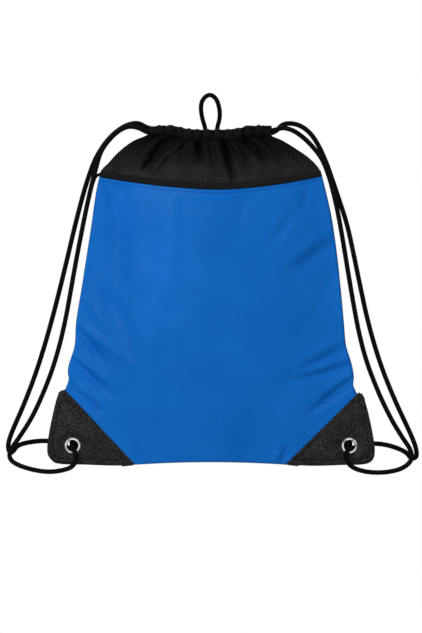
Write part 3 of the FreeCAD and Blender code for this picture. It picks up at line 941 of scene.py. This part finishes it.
def to_rim(x, height, outer):
    """How far a place is from the nearest point of a patch's outer edge."""
    return float(np.min(np.hypot(outer[:, 0] - x, outer[:, 1] - height)))


def patch_depth(x, height, side, hand, outer):
    """A corner patch's outer face: padded between its stitched slant and its rolled edge."""
    slant = to_line((x, height), PATCH_EDGE[hand][0], PATCH_EDGE[hand][-1])
    rim = to_rim(x, height, outer)
    loose = flat_round_grommet(x, height)
    free = PATCH_FACE + swell_at(x, height) + 0.5 * ripple(x, height, 41 + side * hand, 22.0)
    free += 0.35 * fold_depth(PANEL_FOLDS, x, height)
    free += 1.3 * smooth(slant / 10.0) * smooth(rim / 13.0)
    for inset in SLANT_ROWS:
        free -= 0.75 * math.exp(-(((slant - inset) / 0.8) ** 2))
    free -= 1.1 * math.exp(-(((rim - 5.6) / 1.1) ** 2)) * loose
    return mix(PATCH_UNDER_GROMMET, free, loose) * rolled(rim, 4.6)


def make_patch(name, hand, columns, rows):
    """One corner patch: a grid between its slant and its rounded outer edge."""
    side = side_of(name)
    outer = patch_rim(hand)
    start, end = np.array(PATCH_EDGE[hand][0]), np.array(PATCH_EDGE[hand][-1])
    points, uvs = [], []
    for c in range(columns):
        run = mix(0.003, 0.997, c / (columns - 1))
        on_slant = start + (end - start) * run
        place = run * (len(outer) - 1)
        low = int(place)
        on_edge = outer[low] + (outer[min(low + 1, len(outer) - 1)] - outer[low]) * (place - low)
        for r in range(rows):
            share = math.sin(math.pi / 2 * r / (rows - 1))
            x, height = on_slant + (on_edge - on_slant) * share
            depth = patch_depth(x, height, side, hand, outer)
            points.append(spot(x, height, side * depth))
            uvs.append((x * MM, height * MM))
    obj = mesh_object(name, points, grid_faces(columns, rows), uvs)
    open_holes(obj, [GROMMETS[hand]])
    return obj


# The free cords: x, height and depth behind the middle plane of each point of a route, from the front
# hem down the inner strand, through the grommet to the back, and up the outer strand
LEFT_ROUTE = (
    (-69.8, 361.8, -4), (-78.5, 367.2, -3.6), (-91, 369, -3.2), (-104, 361.4, -3), (-115.5, 348.4, -3),
    (-121.2, 338, -3), (-125.4, 322, -3), (-130.2, 303.2, -3), (-134.2, 285.8, -3), (-139.6, 259.7, -3),
    (-145.7, 228.1, -3), (-151.6, 195.4, -3), (-157.3, 162.8, -3), (-164.6, 130.1, -3), (-174.8, 97, -3),
    (-188.3, 64.8, -3.2), (-197.3, 47.4, -3.4), (-209, 29.5, -3.6), (-216, 20, -3.8), (-220, 11, -4),
    (-216.6, 3.6, -4.4), (-204, -2.2, -5), (-188, -6.2, -5.5), (-173.5, -7.4, -6), (-159.5, -5.2, -6.6),
    (-150, -1.5, -8), (-145.6, 8, -9), (-149, 17, -7.8), (-151, 20.4, -1), (-152, 24.4, 5.5),
    (-149, 27.8, 9.8), (-146, 24.2, 11.6), (-147.8, 18.8, 11.6), (-153.5, 17.4, 11.3), (-160, 20.6, 11),
    (-166.5, 23, 12), (-178, 26.2, 12), (-192, 25.6, 9), (-204.5, 23.4, 6), (-211.5, 20.6, 4.6),
    (-215.4, 14.8, 4), (-219.4, 12.4, 3.6), (-221.6, 21, 3), (-218, 33.5, 3), (-211.5, 48.4, 3),
    (-204.2, 64.8, 3), (-191.6, 97.4, 3), (-181.2, 130.1, 3), (-172, 162.8, 3), (-163.7, 195.4, 3),
    (-155.8, 228.1, 3), (-150.5, 250.9, 3), (-146.2, 268.4, 3), (-141.7, 285.8, 3), (-136.9, 303.2, 3),
    (-130.6, 322, 3), (-125.2, 335.4, 3), (-115.2, 351.4, 3), (-103.5, 363.4, 3), (-91, 371, 3.2),
    (-78.9, 373, 3.6), (-69.8, 367.2, 4),
)
RIGHT_ROUTE = (
    (69.8, 364.5, -4), (77.5, 367.2, -3.6), (88, 365, -3.2), (98, 358.5, -3), (107, 350.5, -3),
    (118.2, 337.4, -3), (123.2, 328, -3), (129.2, 311.9, -3), (133.6, 294.5, -3), (137.6, 277.1, -3),
    (142.4, 250.9, -3), (148.8, 211.8, -3), (154.3, 179.1, -3), (160.3, 146.4, -3), (168.5, 113.8, -3),
    (181.2, 81.1, -3), (188.7, 64.8, -3.2), (197.3, 47.6, -3.4), (208.8, 29, -3.6), (217, 17.5, -4),
    (219.2, 6, -4.4), (209.5, -3.2, -4.8), (195, -7.2, -5.4), (179.5, -8.2, -6), (164.5, -6.6, -6.6),
    (151, -1.2, -8), (145.8, 9, -8.8), (149, 17, -7.8), (151, 20.4, -1), (152, 24.4, 5.5),
    (149, 27.8, 9.8), (146, 24.2, 11.6), (147.8, 18.8, 11.6), (153.5, 17.4, 11.3), (160, 20.4, 11),
    (166, 21.8, 12), (177.5, 23.2, 12), (190.5, 22, 9), (203, 18.4, 6), (213.5, 13.4, 4.4),
    (218, 6.4, 3.8), (224.6, 8.4, 3.2), (223.2, 19.5, 3), (218.2, 32.1, 3), (210.6, 48.4, 3),
    (202.8, 64.8, 3), (189, 97.4, 3), (178, 130.1, 3), (169.3, 162.8, 3), (162.4, 195.4, 3),
    (155.7, 228.1, 3), (150.9, 250.9, 3), (146.4, 268.4, 3), (140.6, 285.8, 3), (134.9, 303.2, 3),
    (130.6, 315, 3), (127.4, 325, 3), (123.2, 335, 3), (118.4, 346, 3), (108.6, 361.9, 3),
    (95, 371.5, 3.2), (78.5, 372.5, 3.6), (70.2, 362.2, 4),
)
# The hang loop, from foot to foot, leaning from the back hem to hang plumb over the bag's middle
LOOP_ROUTE = (
    (-5.6, 361, 16), (-6.2, 368.1, 16), (-9.6, 377.6, 11.7), (-11.4, 389.6, 6.2), (-9.2, 398.6, 2.1),
    (-1.4, 404.2, -0.5), (6.4, 398.8, 2), (9.7, 386.6, 7.6), (9.5, 377.1, 11.9), (6.6, 368.1, 16),
    (6, 361, 16),
)


def spline_line(name, route):
    """The points of a smooth line near a route."""
    curve = bpy.data.curves.new(name, "CURVE")
    curve.dimensions = "3D"
    curve.resolution_u = 10
    spline = curve.splines.new("NURBS")
    spline.points.add(len(route) - 1)
    for point, (x, height, y) in zip(spline.points, route):
        point.co = (*spot(x, height, y), 1.0)
    spline.order_u = 3
    spline.use_endpoint_u = True
    carrier = placed(name, curve)
    graph = bpy.context.evaluated_depsgraph_get()
    line_mesh = bpy.data.meshes.new_from_object(carrier.evaluated_get(graph), depsgraph=graph)
    line = [v.co.copy() for v in line_mesh.vertices]
    bpy.data.objects.remove(carrier)
    bpy.data.curves.remove(curve)
    bpy.data.meshes.remove(line_mesh)
    return line


def oval(half_wide, half_tall, count):
    """Points round an oval section, in metres."""
    angles = [math.tau * k / count for k in range(count)]
    return [(math.cos(a) * half_wide, math.sin(a) * half_tall) for a in angles]


def cord_tube(name, line, diameter):
    """A round tube along a line."""

    def section_at(i, share):
        return oval(diameter / 2, diameter / 2, 14)

    return sweep(name, line, section_at, closed_ends=True)


# Stitches
def stitch_tree():
    """Geometry nodes that turn an edge path into a row of beads of thread."""
    tree = bpy.data.node_groups.new("Stitches", "GeometryNodeTree")
    face = tree.interface
    face.new_socket("Geometry", in_out="INPUT", socket_type="NodeSocketGeometry")
    for label, default in (("Pitch", 0.003), ("Length", 0.0022), ("Thickness", 0.0005)):
        socket = face.new_socket(label, in_out="INPUT", socket_type="NodeSocketFloat")
        socket.default_value = default
    face.new_socket("Thread", in_out="INPUT", socket_type="NodeSocketMaterial")
    face.new_socket("Geometry", in_out="OUTPUT", socket_type="NodeSocketGeometry")

    def add(kind, inputs=None, **settings):
        node = tree.nodes.new(kind)
        for key, value in settings.items():
            setattr(node, key, value)
        for key, value in (inputs or {}).items():
            if isinstance(value, bpy.types.NodeSocket):
                tree.links.new(value, node.inputs[key])
            else:
                node.inputs[key].default_value = value
        return node

    given = add("NodeGroupInput").outputs
    path = add("GeometryNodeMeshToCurve", {"Mesh": given["Geometry"]})
    steps = add(
        "GeometryNodeResampleCurve",
        {"Curve": path.outputs["Curve"], "Length": given["Pitch"]},
        mode="LENGTH",
    )
    bead = add("GeometryNodeMeshUVSphere", {"Segments": 8, "Rings": 6, "Radius": 0.5})
    thick = given["Thickness"]
    size = add("ShaderNodeCombineXYZ", {"X": given["Length"], "Y": thick, "Z": thick})
    ahead = add("GeometryNodeInputTangent")
    turn = add("FunctionNodeAlignRotationToVector", {"Vector": ahead.outputs[0]}, axis="X")
    beads = add(
        "GeometryNodeInstanceOnPoints",
        {
            "Points": steps.outputs["Curve"],
            "Instance": bead.outputs["Mesh"],
            "Rotation": turn.outputs[0],
            "Scale": size.outputs[0],
        },
    )
    real = add("GeometryNodeRealizeInstances", {"Geometry": beads.outputs["Instances"]})
    painted = add(
        "GeometryNodeSetMaterial",
        {"Geometry": real.outputs["Geometry"], "Material": given["Thread"]},
    )
    add("NodeGroupOutput", {"Geometry": painted.outputs["Geometry"]})
    return tree


def sew(name, paths, tree, thread, body, pitch=3.0, length=2.2, thickness=0.5):
    """Rows of stitches along paths of points in metres, as one plain mesh."""
    points, edges = [], []
    for path in paths:
        first = len(points)
        points.extend(tuple(p) for p in path)
        edges.extend((i, i + 1) for i in range(first, len(points) - 1))
    mesh = bpy.data.meshes.new(name)
    mesh.from_pydata(points, edges, [])
    obj = placed(name, mesh)
    sewing = obj.modifiers.new("Stitches", "NODES")
    sewing.node_group = tree
    values = {"Pitch": pitch * MM, "Length": length * MM, "Thickness": thickness * MM, "Thread": thread}
    for item in tree.interface.items_tree:
        if item.in_out == "INPUT" and item.name in values:
            sewing[item.identifier] = values[item.name]
    apply_modifiers(obj)
    smooth_faces(obj.data)
    finish_piece(obj, thread, body)


# Settings
def colour_setting(name, description, default):
    return bpy.props.FloatVectorProperty(
        name=name, description=description, subtype="COLOR", size=3, min=0, max=1, default=default
    )


def length_setting(name, description, default, **limits):
    return bpy.props.FloatProperty(
        name=name, description=description, unit="LENGTH", default=default, **limits
    )


def light_setting(name, description, default):
    return bpy.props.FloatProperty(name=name, description=description, min=0, default=default)


class BackpackFinish(bpy.types.PropertyGroup):
    cloth_light: colour_setting("Cloth, light", "The blue cloth's lightest tone", (0.005, 0.147, 0.535))
    cloth_shade: colour_setting("Cloth, dark", "The blue cloth's darkest tone", (0.0, 0.091, 0.39))
    blue_thread: colour_setting("Blue thread", "Thread sewn into the blue cloth", (0.0, 0.035, 0.2))
    black: colour_setting("Black", "Ground of all the black pieces", (0.0008, 0.0008, 0.0009))
    mesh_thread: colour_setting("Mesh thread", "The net's threads", (0.056, 0.056, 0.0565))
    # The tape's light tone: painted highlight on the tops of the ribs, plus the tape's fibre and wear.
    tape_rib_highlight_and_wear: colour_setting("Tape", "The tape's ribs", (0.011, 0.011, 0.0115))
    # Painted highlight: the light tone painted on the tops of the pebbles of the corner patches.
    vinyl_crest_highlight: colour_setting("Vinyl", "The corner patches' pebbles", (0.034, 0.034, 0.033))
    # The cord's light tone: painted highlight on the crowns of the strands, plus the cord's fibre and wear.
    cord_crown_highlight_and_wear: colour_setting("Cord", "The cord's strands", (0.0045, 0.0045, 0.0045))
    thread_light: colour_setting("Thread", "Sewing thread on black", (0.006, 0.006, 0.006))
    metal_light: colour_setting("Metal, light", "The eyelets' bright tone", (0.78, 0.78, 0.77))
    # Painted reflection: the dark tone painted on the eyelets in place of reflected dark surroundings.
    metal_shade: colour_setting("Metal, dark", "The eyelets' hazed tone", (0.26, 0.26, 0.255))
    mesh_pitch: length_setting("Mesh pitch", "Between two threads of the net", 0.0036, min=0.001, max=0.01)
    cord_diameter: length_setting("Cord", "Thickness of the drawcords", 0.0053, min=0.002, max=0.01)
    loop_diameter: length_setting("Loop cord", "Thickness of the hang loop", 0.0050, min=0.002, max=0.01)


class BackpackStage(bpy.types.PropertyGroup):
    camera_distance: length_setting("Camera distance", "From the middle plane to the camera", 4.0)
    camera_height: length_setting("Camera height", "Against the top of the hang loop", -0.2393)
    seen_height: length_setting("Seen height", "What the picture's longer side takes in", 0.6891)
    floor_height: length_setting("Floor", "Height of the floor under the hanging bag", -0.75)
    key_power: light_setting("Key light", "Power of the lamp at the upper left", 17.5)
    fill_power: light_setting("Fill light", "Power of the lamps at the right and behind", 7.0)
    ambient: light_setting("Ambient", "Strength of the light from all round", 0.33)


# Operators
class BackpackOperator:
    """What all the operators share."""

    bl_options = {"REGISTER", "UNDO"}

    def execute(self, context):
        self.build(context.scene.backpack_finish, context.scene.backpack_stage)
        return {"FINISHED"}


def point_at(obj, target):
    """Turns a camera or a lamp towards a place."""
    obj.rotation_euler = (Vector(target) - obj.location).to_track_quat("-Z", "Y").to_euler()


def area_lamp(name, place, target, width, power):
    """A square-cornered lamp; width has its two sides in metres."""
    data = bpy.data.lights.new(name, "AREA")
    data.shape = "RECTANGLE"
    data.size, data.size_y = width
    data.energy = power
    lamp = placed(name, data)
    lamp.location = place
    point_at(lamp, target)


class BACKPACK_OT_stage(BackpackOperator, bpy.types.Operator):
    """Camera, lamps, white surroundings and a floor far below"""

    bl_idname = "backpack.stage"
    bl_label = "Stage"

    def build(self, finish, stage):
        scene = bpy.context.scene
        camera_data = bpy.data.cameras.new("camera")
        camera_data.sensor_width = 36
        camera_data.lens = 36 * stage.camera_distance / stage.seen_height
        camera_data.clip_end = 50
        camera = placed("camera", camera_data)
        camera.location = (0, -stage.camera_distance, stage.camera_height)
        point_at(camera, (0, 0, stage.camera_height))
        scene.camera = camera

        aim = (0, 0, stage.camera_height)
        area_lamp("key", (-0.62, -1.2, 0.52), aim, (0.8, 0.8), stage.key_power)
        area_lamp("fill", (1.7, -1.8, 0.1), aim, (1.6, 1.8), stage.fill_power)
        area_lamp("rim", (0.4, 1.6, 1.2), aim, (1.6, 0.9), stage.fill_power)

        half = 1.5
        low = stage.floor_height
        corners = [(-half, -half, low), (half, -half, low), (half, half, low), (-half, half, low)]
        floor = mesh_object("floor", corners, [(0, 1, 2, 3)])
        floor.data.materials.append(material("floor"))
        self.surroundings(scene, stage.ambient)
        scene.view_settings.view_transform = "Standard"

    def surroundings(self, scene, ambient):
        """White to the camera and in reflections, softer as a light."""
        world = bpy.data.worlds.new("studio")
        world.use_nodes = True
        scene.world = world
        tree = world.node_tree
        background = next(n for n in tree.nodes if n.type == "BACKGROUND")
        background.inputs["Color"].default_value = (1, 1, 1, 1)
        rays = tree.nodes.new("ShaderNodeLightPath")
        seen = rays.outputs["Is Camera Ray"]
        for other in ("Is Glossy Ray", "Is Transmission Ray"):
            either = tree.nodes.new("ShaderNodeMath")
            either.operation = "MAXIMUM"
            tree.links.new(seen, either.inputs[0])
            tree.links.new(rays.outputs[other], either.inputs[1])
            seen = either.outputs[0]
        strength = tree.nodes.new("ShaderNodeMapRange")
        tree.links.new(seen, strength.inputs["Value"])
        strength.inputs["To Min"].default_value = ambient
        strength.inputs["To Max"].default_value = 1.0
        tree.links.new(strength.outputs["Result"], background.inputs["Strength"])


class BACKPACK_OT_cords(BackpackOperator, bpy.types.Operator):
    """The two free cords that serve as shoulder straps, and the hang loop"""

    bl_idname = "backpack.cords"
    bl_label = "Cords"

    def build(self, finish, stage):
        for word, hand, route, shown in (("left", -1, LEFT_ROUTE, 1.009), ("right", 1, RIGHT_ROUTE, 1.015)):
            start, end = (
                (hand * CORD_END, route[i][1] - CORD_END_DROP, depth)
                for i, depth in ((0, -CORD_END_DEPTH), (-1, CORD_END_DEPTH))
            )
            line = spline_line(word + "_route", (start, *route, end))
            strap = cord_tube(word + "_strap", line, finish.cord_diameter)
            self.declare(strap, line, shown, finish.cord_diameter, word + "_strap", word + "_strap_cord")
        line = spline_line("loop_route", LOOP_ROUTE)
        loop = cord_tube("loop", line, finish.loop_diameter)
        self.declare(loop, line, 0.1005, finish.loop_diameter, "loop", "hang_loop")

    def declare(self, obj, line, length, diameter, body, node):
        finish_piece(obj, material("cord"), body, [node])


class BACKPACK_OT_panels(BackpackOperator, bpy.types.Operator):
    """The blue front and back panels"""

    bl_idname = "backpack.panels"
    bl_label = "Panels"

    def build(self, finish, stage):
        for name, yoke in (("front_panel", "front_yoke"), ("back_panel", "back_yoke")):
            panel = make_panel(name, 190, 190)
            open_holes(panel, GROMMETS.values())
            point_outwards(panel, side_of(name))
            thicken(panel, CLOTH_THICK)
            finish_piece(panel, material("cloth"), "bag", [name])


# The line that a yoke turns about, in metres from the middle plane, and the heights it gives way between
HINGE_DEPTH = 0.0215
HINGE_LEVELS = (318.0, 357.0)
# Where the free cords' hidden ends lie inside the hems
CORD_END = 62.5
CORD_END_DEPTH = 5.4
CORD_END_DROP = 1.2


def open_by(obj, side, seam_height):
    """Makes mesh cloth follow its opening hem, while its side seams stay shut up to a height."""
    lip = "front_lip" if side < 0 else "back_lip"
    low, high = ((0, side * HINGE_DEPTH, (level - HANG_HEIGHT) * MM) for level in HINGE_LEVELS)
    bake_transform(obj, "bag", lip, low, high)
    weights = obj.data.attributes["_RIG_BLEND"].data
    for vertex in obj.data.vertices:
        x, height = vertex.co.x / MM, vertex.co.z / MM + HANG_HEIGHT
        inward = min(x - edge_at(YOKE_EDGE[-1], height), edge_at(YOKE_EDGE[1], height) - x)
        at_seam = smooth((height - seam_height) / 18.0)
        weights[vertex.index].value *= mix(at_seam, 1.0, smooth(inward / 26.0))


class BACKPACK_OT_yokes(BackpackOperator, bpy.types.Operator):
    """The gathered mesh at the top, front and back"""

    bl_idname = "backpack.yokes"
    bl_label = "Yokes"

    def build(self, finish, stage):
        for name, hem in (("front_yoke", "front_hem"), ("back_yoke", "back_hem")):
            yoke = make_yoke(name, 250, 64)
            point_outwards(yoke, side_of(name))
            thicken(yoke, CLOTH_THICK)
            finish_piece(yoke, material("mesh"), None, [name])
            open_by(yoke, side_of(name), 341.0)


class BACKPACK_OT_hems(BackpackOperator, bpy.types.Operator):
    """The hems that the cords run through, front and back"""

    bl_idname = "backpack.hems"
    bl_label = "Hems"

    def build(self, finish, stage):
        for face in ("front", "back"):
            hem = make_hem(face + "_hem")
            thicken(hem, HEM_THICK)
            finish_piece(hem, material("mesh"), face + "_lip", [face + "_tunnel"])


class BACKPACK_OT_tapes(BackpackOperator, bpy.types.Operator):
    """The tapes over the joins, front and back, and the loose end at the left seam"""

    bl_idname = "backpack.tapes"
    bl_label = "Tapes"

    def build(self, finish, stage):
        for name in ("front_binding", "back_binding"):
            tape = make_tape(name, 260, 12)
            point_outwards(tape, side_of(name))
            thicken(tape, TAPE_THICK)
            finish_piece(tape, material("tape"), "bag", [name])
        tail = [(-117.5, 317.2), (-121.0, 316.4), (-124.0, 315.0), (-126.2, 312.0), (-127.2, 307.5)]
        line = [spot(x, height, -0.4) for x, height in rounded_line(tail, 24)]

        def section_at(i, share):
            wide = 2.1 - 0.9 * share
            return oval(0.6 * MM, wide * MM, 10)

        end = sweep("front_binding_end", line, section_at, closed_ends=True)
        finish_piece(end, material("tape"))


class BACKPACK_OT_patches(BackpackOperator, bpy.types.Operator):
    """The four corner patches"""

    bl_idname = "backpack.patches"
    bl_label = "Corner patches"

    def build(self, finish, stage):
        for face in ("front", "back"):
            for word, hand in (("left", -1), ("right", 1)):
                name = f"{face}_{word}_corner_patch"
                patch = make_patch(name, hand, 130, 64)
                point_outwards(patch, side_of(name))
                thicken(patch, PATCH_THICK)
                finish_piece(patch, material("vinyl"), "bag", [name])


class BACKPACK_OT_eyelets(BackpackOperator, bpy.types.Operator):
    """Finishes of the eyelets, their washers and the cords inside the hems"""

    bl_idname = "backpack.eyelets"
    bl_label = "Eyelets"

    def build(self, finish, stage):
        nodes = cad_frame["nodes"]
        for word in ("left", "right"):
            for name in (f"{word}_grommet", f"{word}_grommet_washer"):
                self.paint(nodes[name], "metal")
            for name in (f"{word}_cord_front_run", f"{word}_cord_back_run"):
                self.paint(nodes[name], "cord")

    def paint(self, obj, key):
        obj.data.materials.clear()
        obj.data.materials.append(material(key))


def band_row(side, share, lift):
    """A row of stitches along the tape, at a share of its width; below 0 it is on the blue cloth."""
    turn = 1 if side < 0 else -1
    row = []
    for i in range(200):
        x = mix(-117.5, 117.0, i / 199)
        height = band_lower(turn * x) + share * BAND_WIDTH
        if share < 0:
            depth = panel_depth(x, height, side, -122.0, 121.5)
        else:
            depth = band_depth(x, height) + 0.45
        row.append(spot(x, height, side * (depth + lift)))
    return row


def patch_row(side, hand, inset):
    """A row of stitches beside a patch's slant."""
    start, end = (Vector(PATCH_EDGE[hand][i]) for i in (0, -1))
    run = (end - start).normalized()
    inward = Vector((-run.y, run.x))
    if inward.dot(Vector(GROMMETS[hand]) - start) < 0:
        inward.negate()
    outer = patch_rim(hand)
    row = []
    for i in range(120):
        x, height = start + (end - start) * mix(0.05, 0.95, i / 119) + inward * inset
        if to_rim(x, height, outer) > 2.5:
            row.append(spot(x, height, side * (patch_depth(x, height, side, hand, outer) + 0.12)))
    return row


def hem_row(side, drop):
    """A row of stitches along the hem's lower edge."""
    turn = 1 if side < 0 else -1
    row = []
    for i in range(160):
        x = mix(-63.5, 61.0, i / 159)
        depth = hem_depth(x) + 3.1 + 0.45 * gather_wave(turn * x)
        row.append(spot(x, hem_height(x) - drop, side * depth))
    return row


class BACKPACK_OT_stitches(BackpackOperator, bpy.types.Operator):
    """All the rows of stitches"""

    bl_idname = "backpack.stitches"
    bl_label = "Stitches"

    def build(self, finish, stage):
        tree = stitch_tree()
        for word, side in (("front", -1), ("back", 1)):
            black, blue = material("thread"), material("blue_thread")
            on_tape, on_cloth = [band_row(side, 0.72, 0.0)], [band_row(side, -0.52, 0.2)]
            on_patches = [patch_row(side, hand, inset) for hand in (-1, 1) for inset in SLANT_ROWS]
            sew(word + "_tape_stitches", on_tape, tree, black, "bag")
            sew(word + "_cloth_stitches", on_cloth, tree, blue, "bag", 3.4, 2.3, 0.8)
            sew(word + "_patch_stitches", on_patches, tree, black, "bag", 2.6, 1.9, 0.8)
            sew(word + "_hem_stitches", [hem_row(side, 4.6)], tree, black, word + "_lip")


OPERATORS = (
    BACKPACK_OT_stage,
    BACKPACK_OT_cords,
    BACKPACK_OT_panels,
    BACKPACK_OT_yokes,
    BACKPACK_OT_hems,
    BACKPACK_OT_tapes,
    BACKPACK_OT_patches,
    BACKPACK_OT_eyelets,
    BACKPACK_OT_stitches,
)


class BACKPACK_PT_panel(bpy.types.Panel):
    """Lists the settings and the steps"""

    bl_idname = "BACKPACK_PT_panel"
    bl_label = "Backpack"
    bl_space_type = "VIEW_3D"
    bl_region_type = "UI"
    bl_category = "Backpack"

    def draw(self, context):
        for group in (context.scene.backpack_finish, context.scene.backpack_stage):
            for key in group.__annotations__:
                self.layout.prop(group, key)
        for operator in OPERATORS:
            self.layout.operator(operator.bl_idname)


CLASSES = (BackpackFinish, BackpackStage, *OPERATORS, BACKPACK_PT_panel)


def register():
    for cls in CLASSES:
        bpy.utils.register_class(cls)
    bpy.types.Scene.backpack_finish = bpy.props.PointerProperty(type=BackpackFinish)
    bpy.types.Scene.backpack_stage = bpy.props.PointerProperty(type=BackpackStage)


def unregister():
    del bpy.types.Scene.backpack_stage
    del bpy.types.Scene.backpack_finish
    for cls in reversed(CLASSES):
        bpy.utils.unregister_class(cls)


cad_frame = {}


def main():
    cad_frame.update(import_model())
    register()
    for operator in OPERATORS:
        group, step = operator.bl_idname.split(".")
        getattr(getattr(bpy.ops, group), step)()


if __name__ == "__main__":
    main()
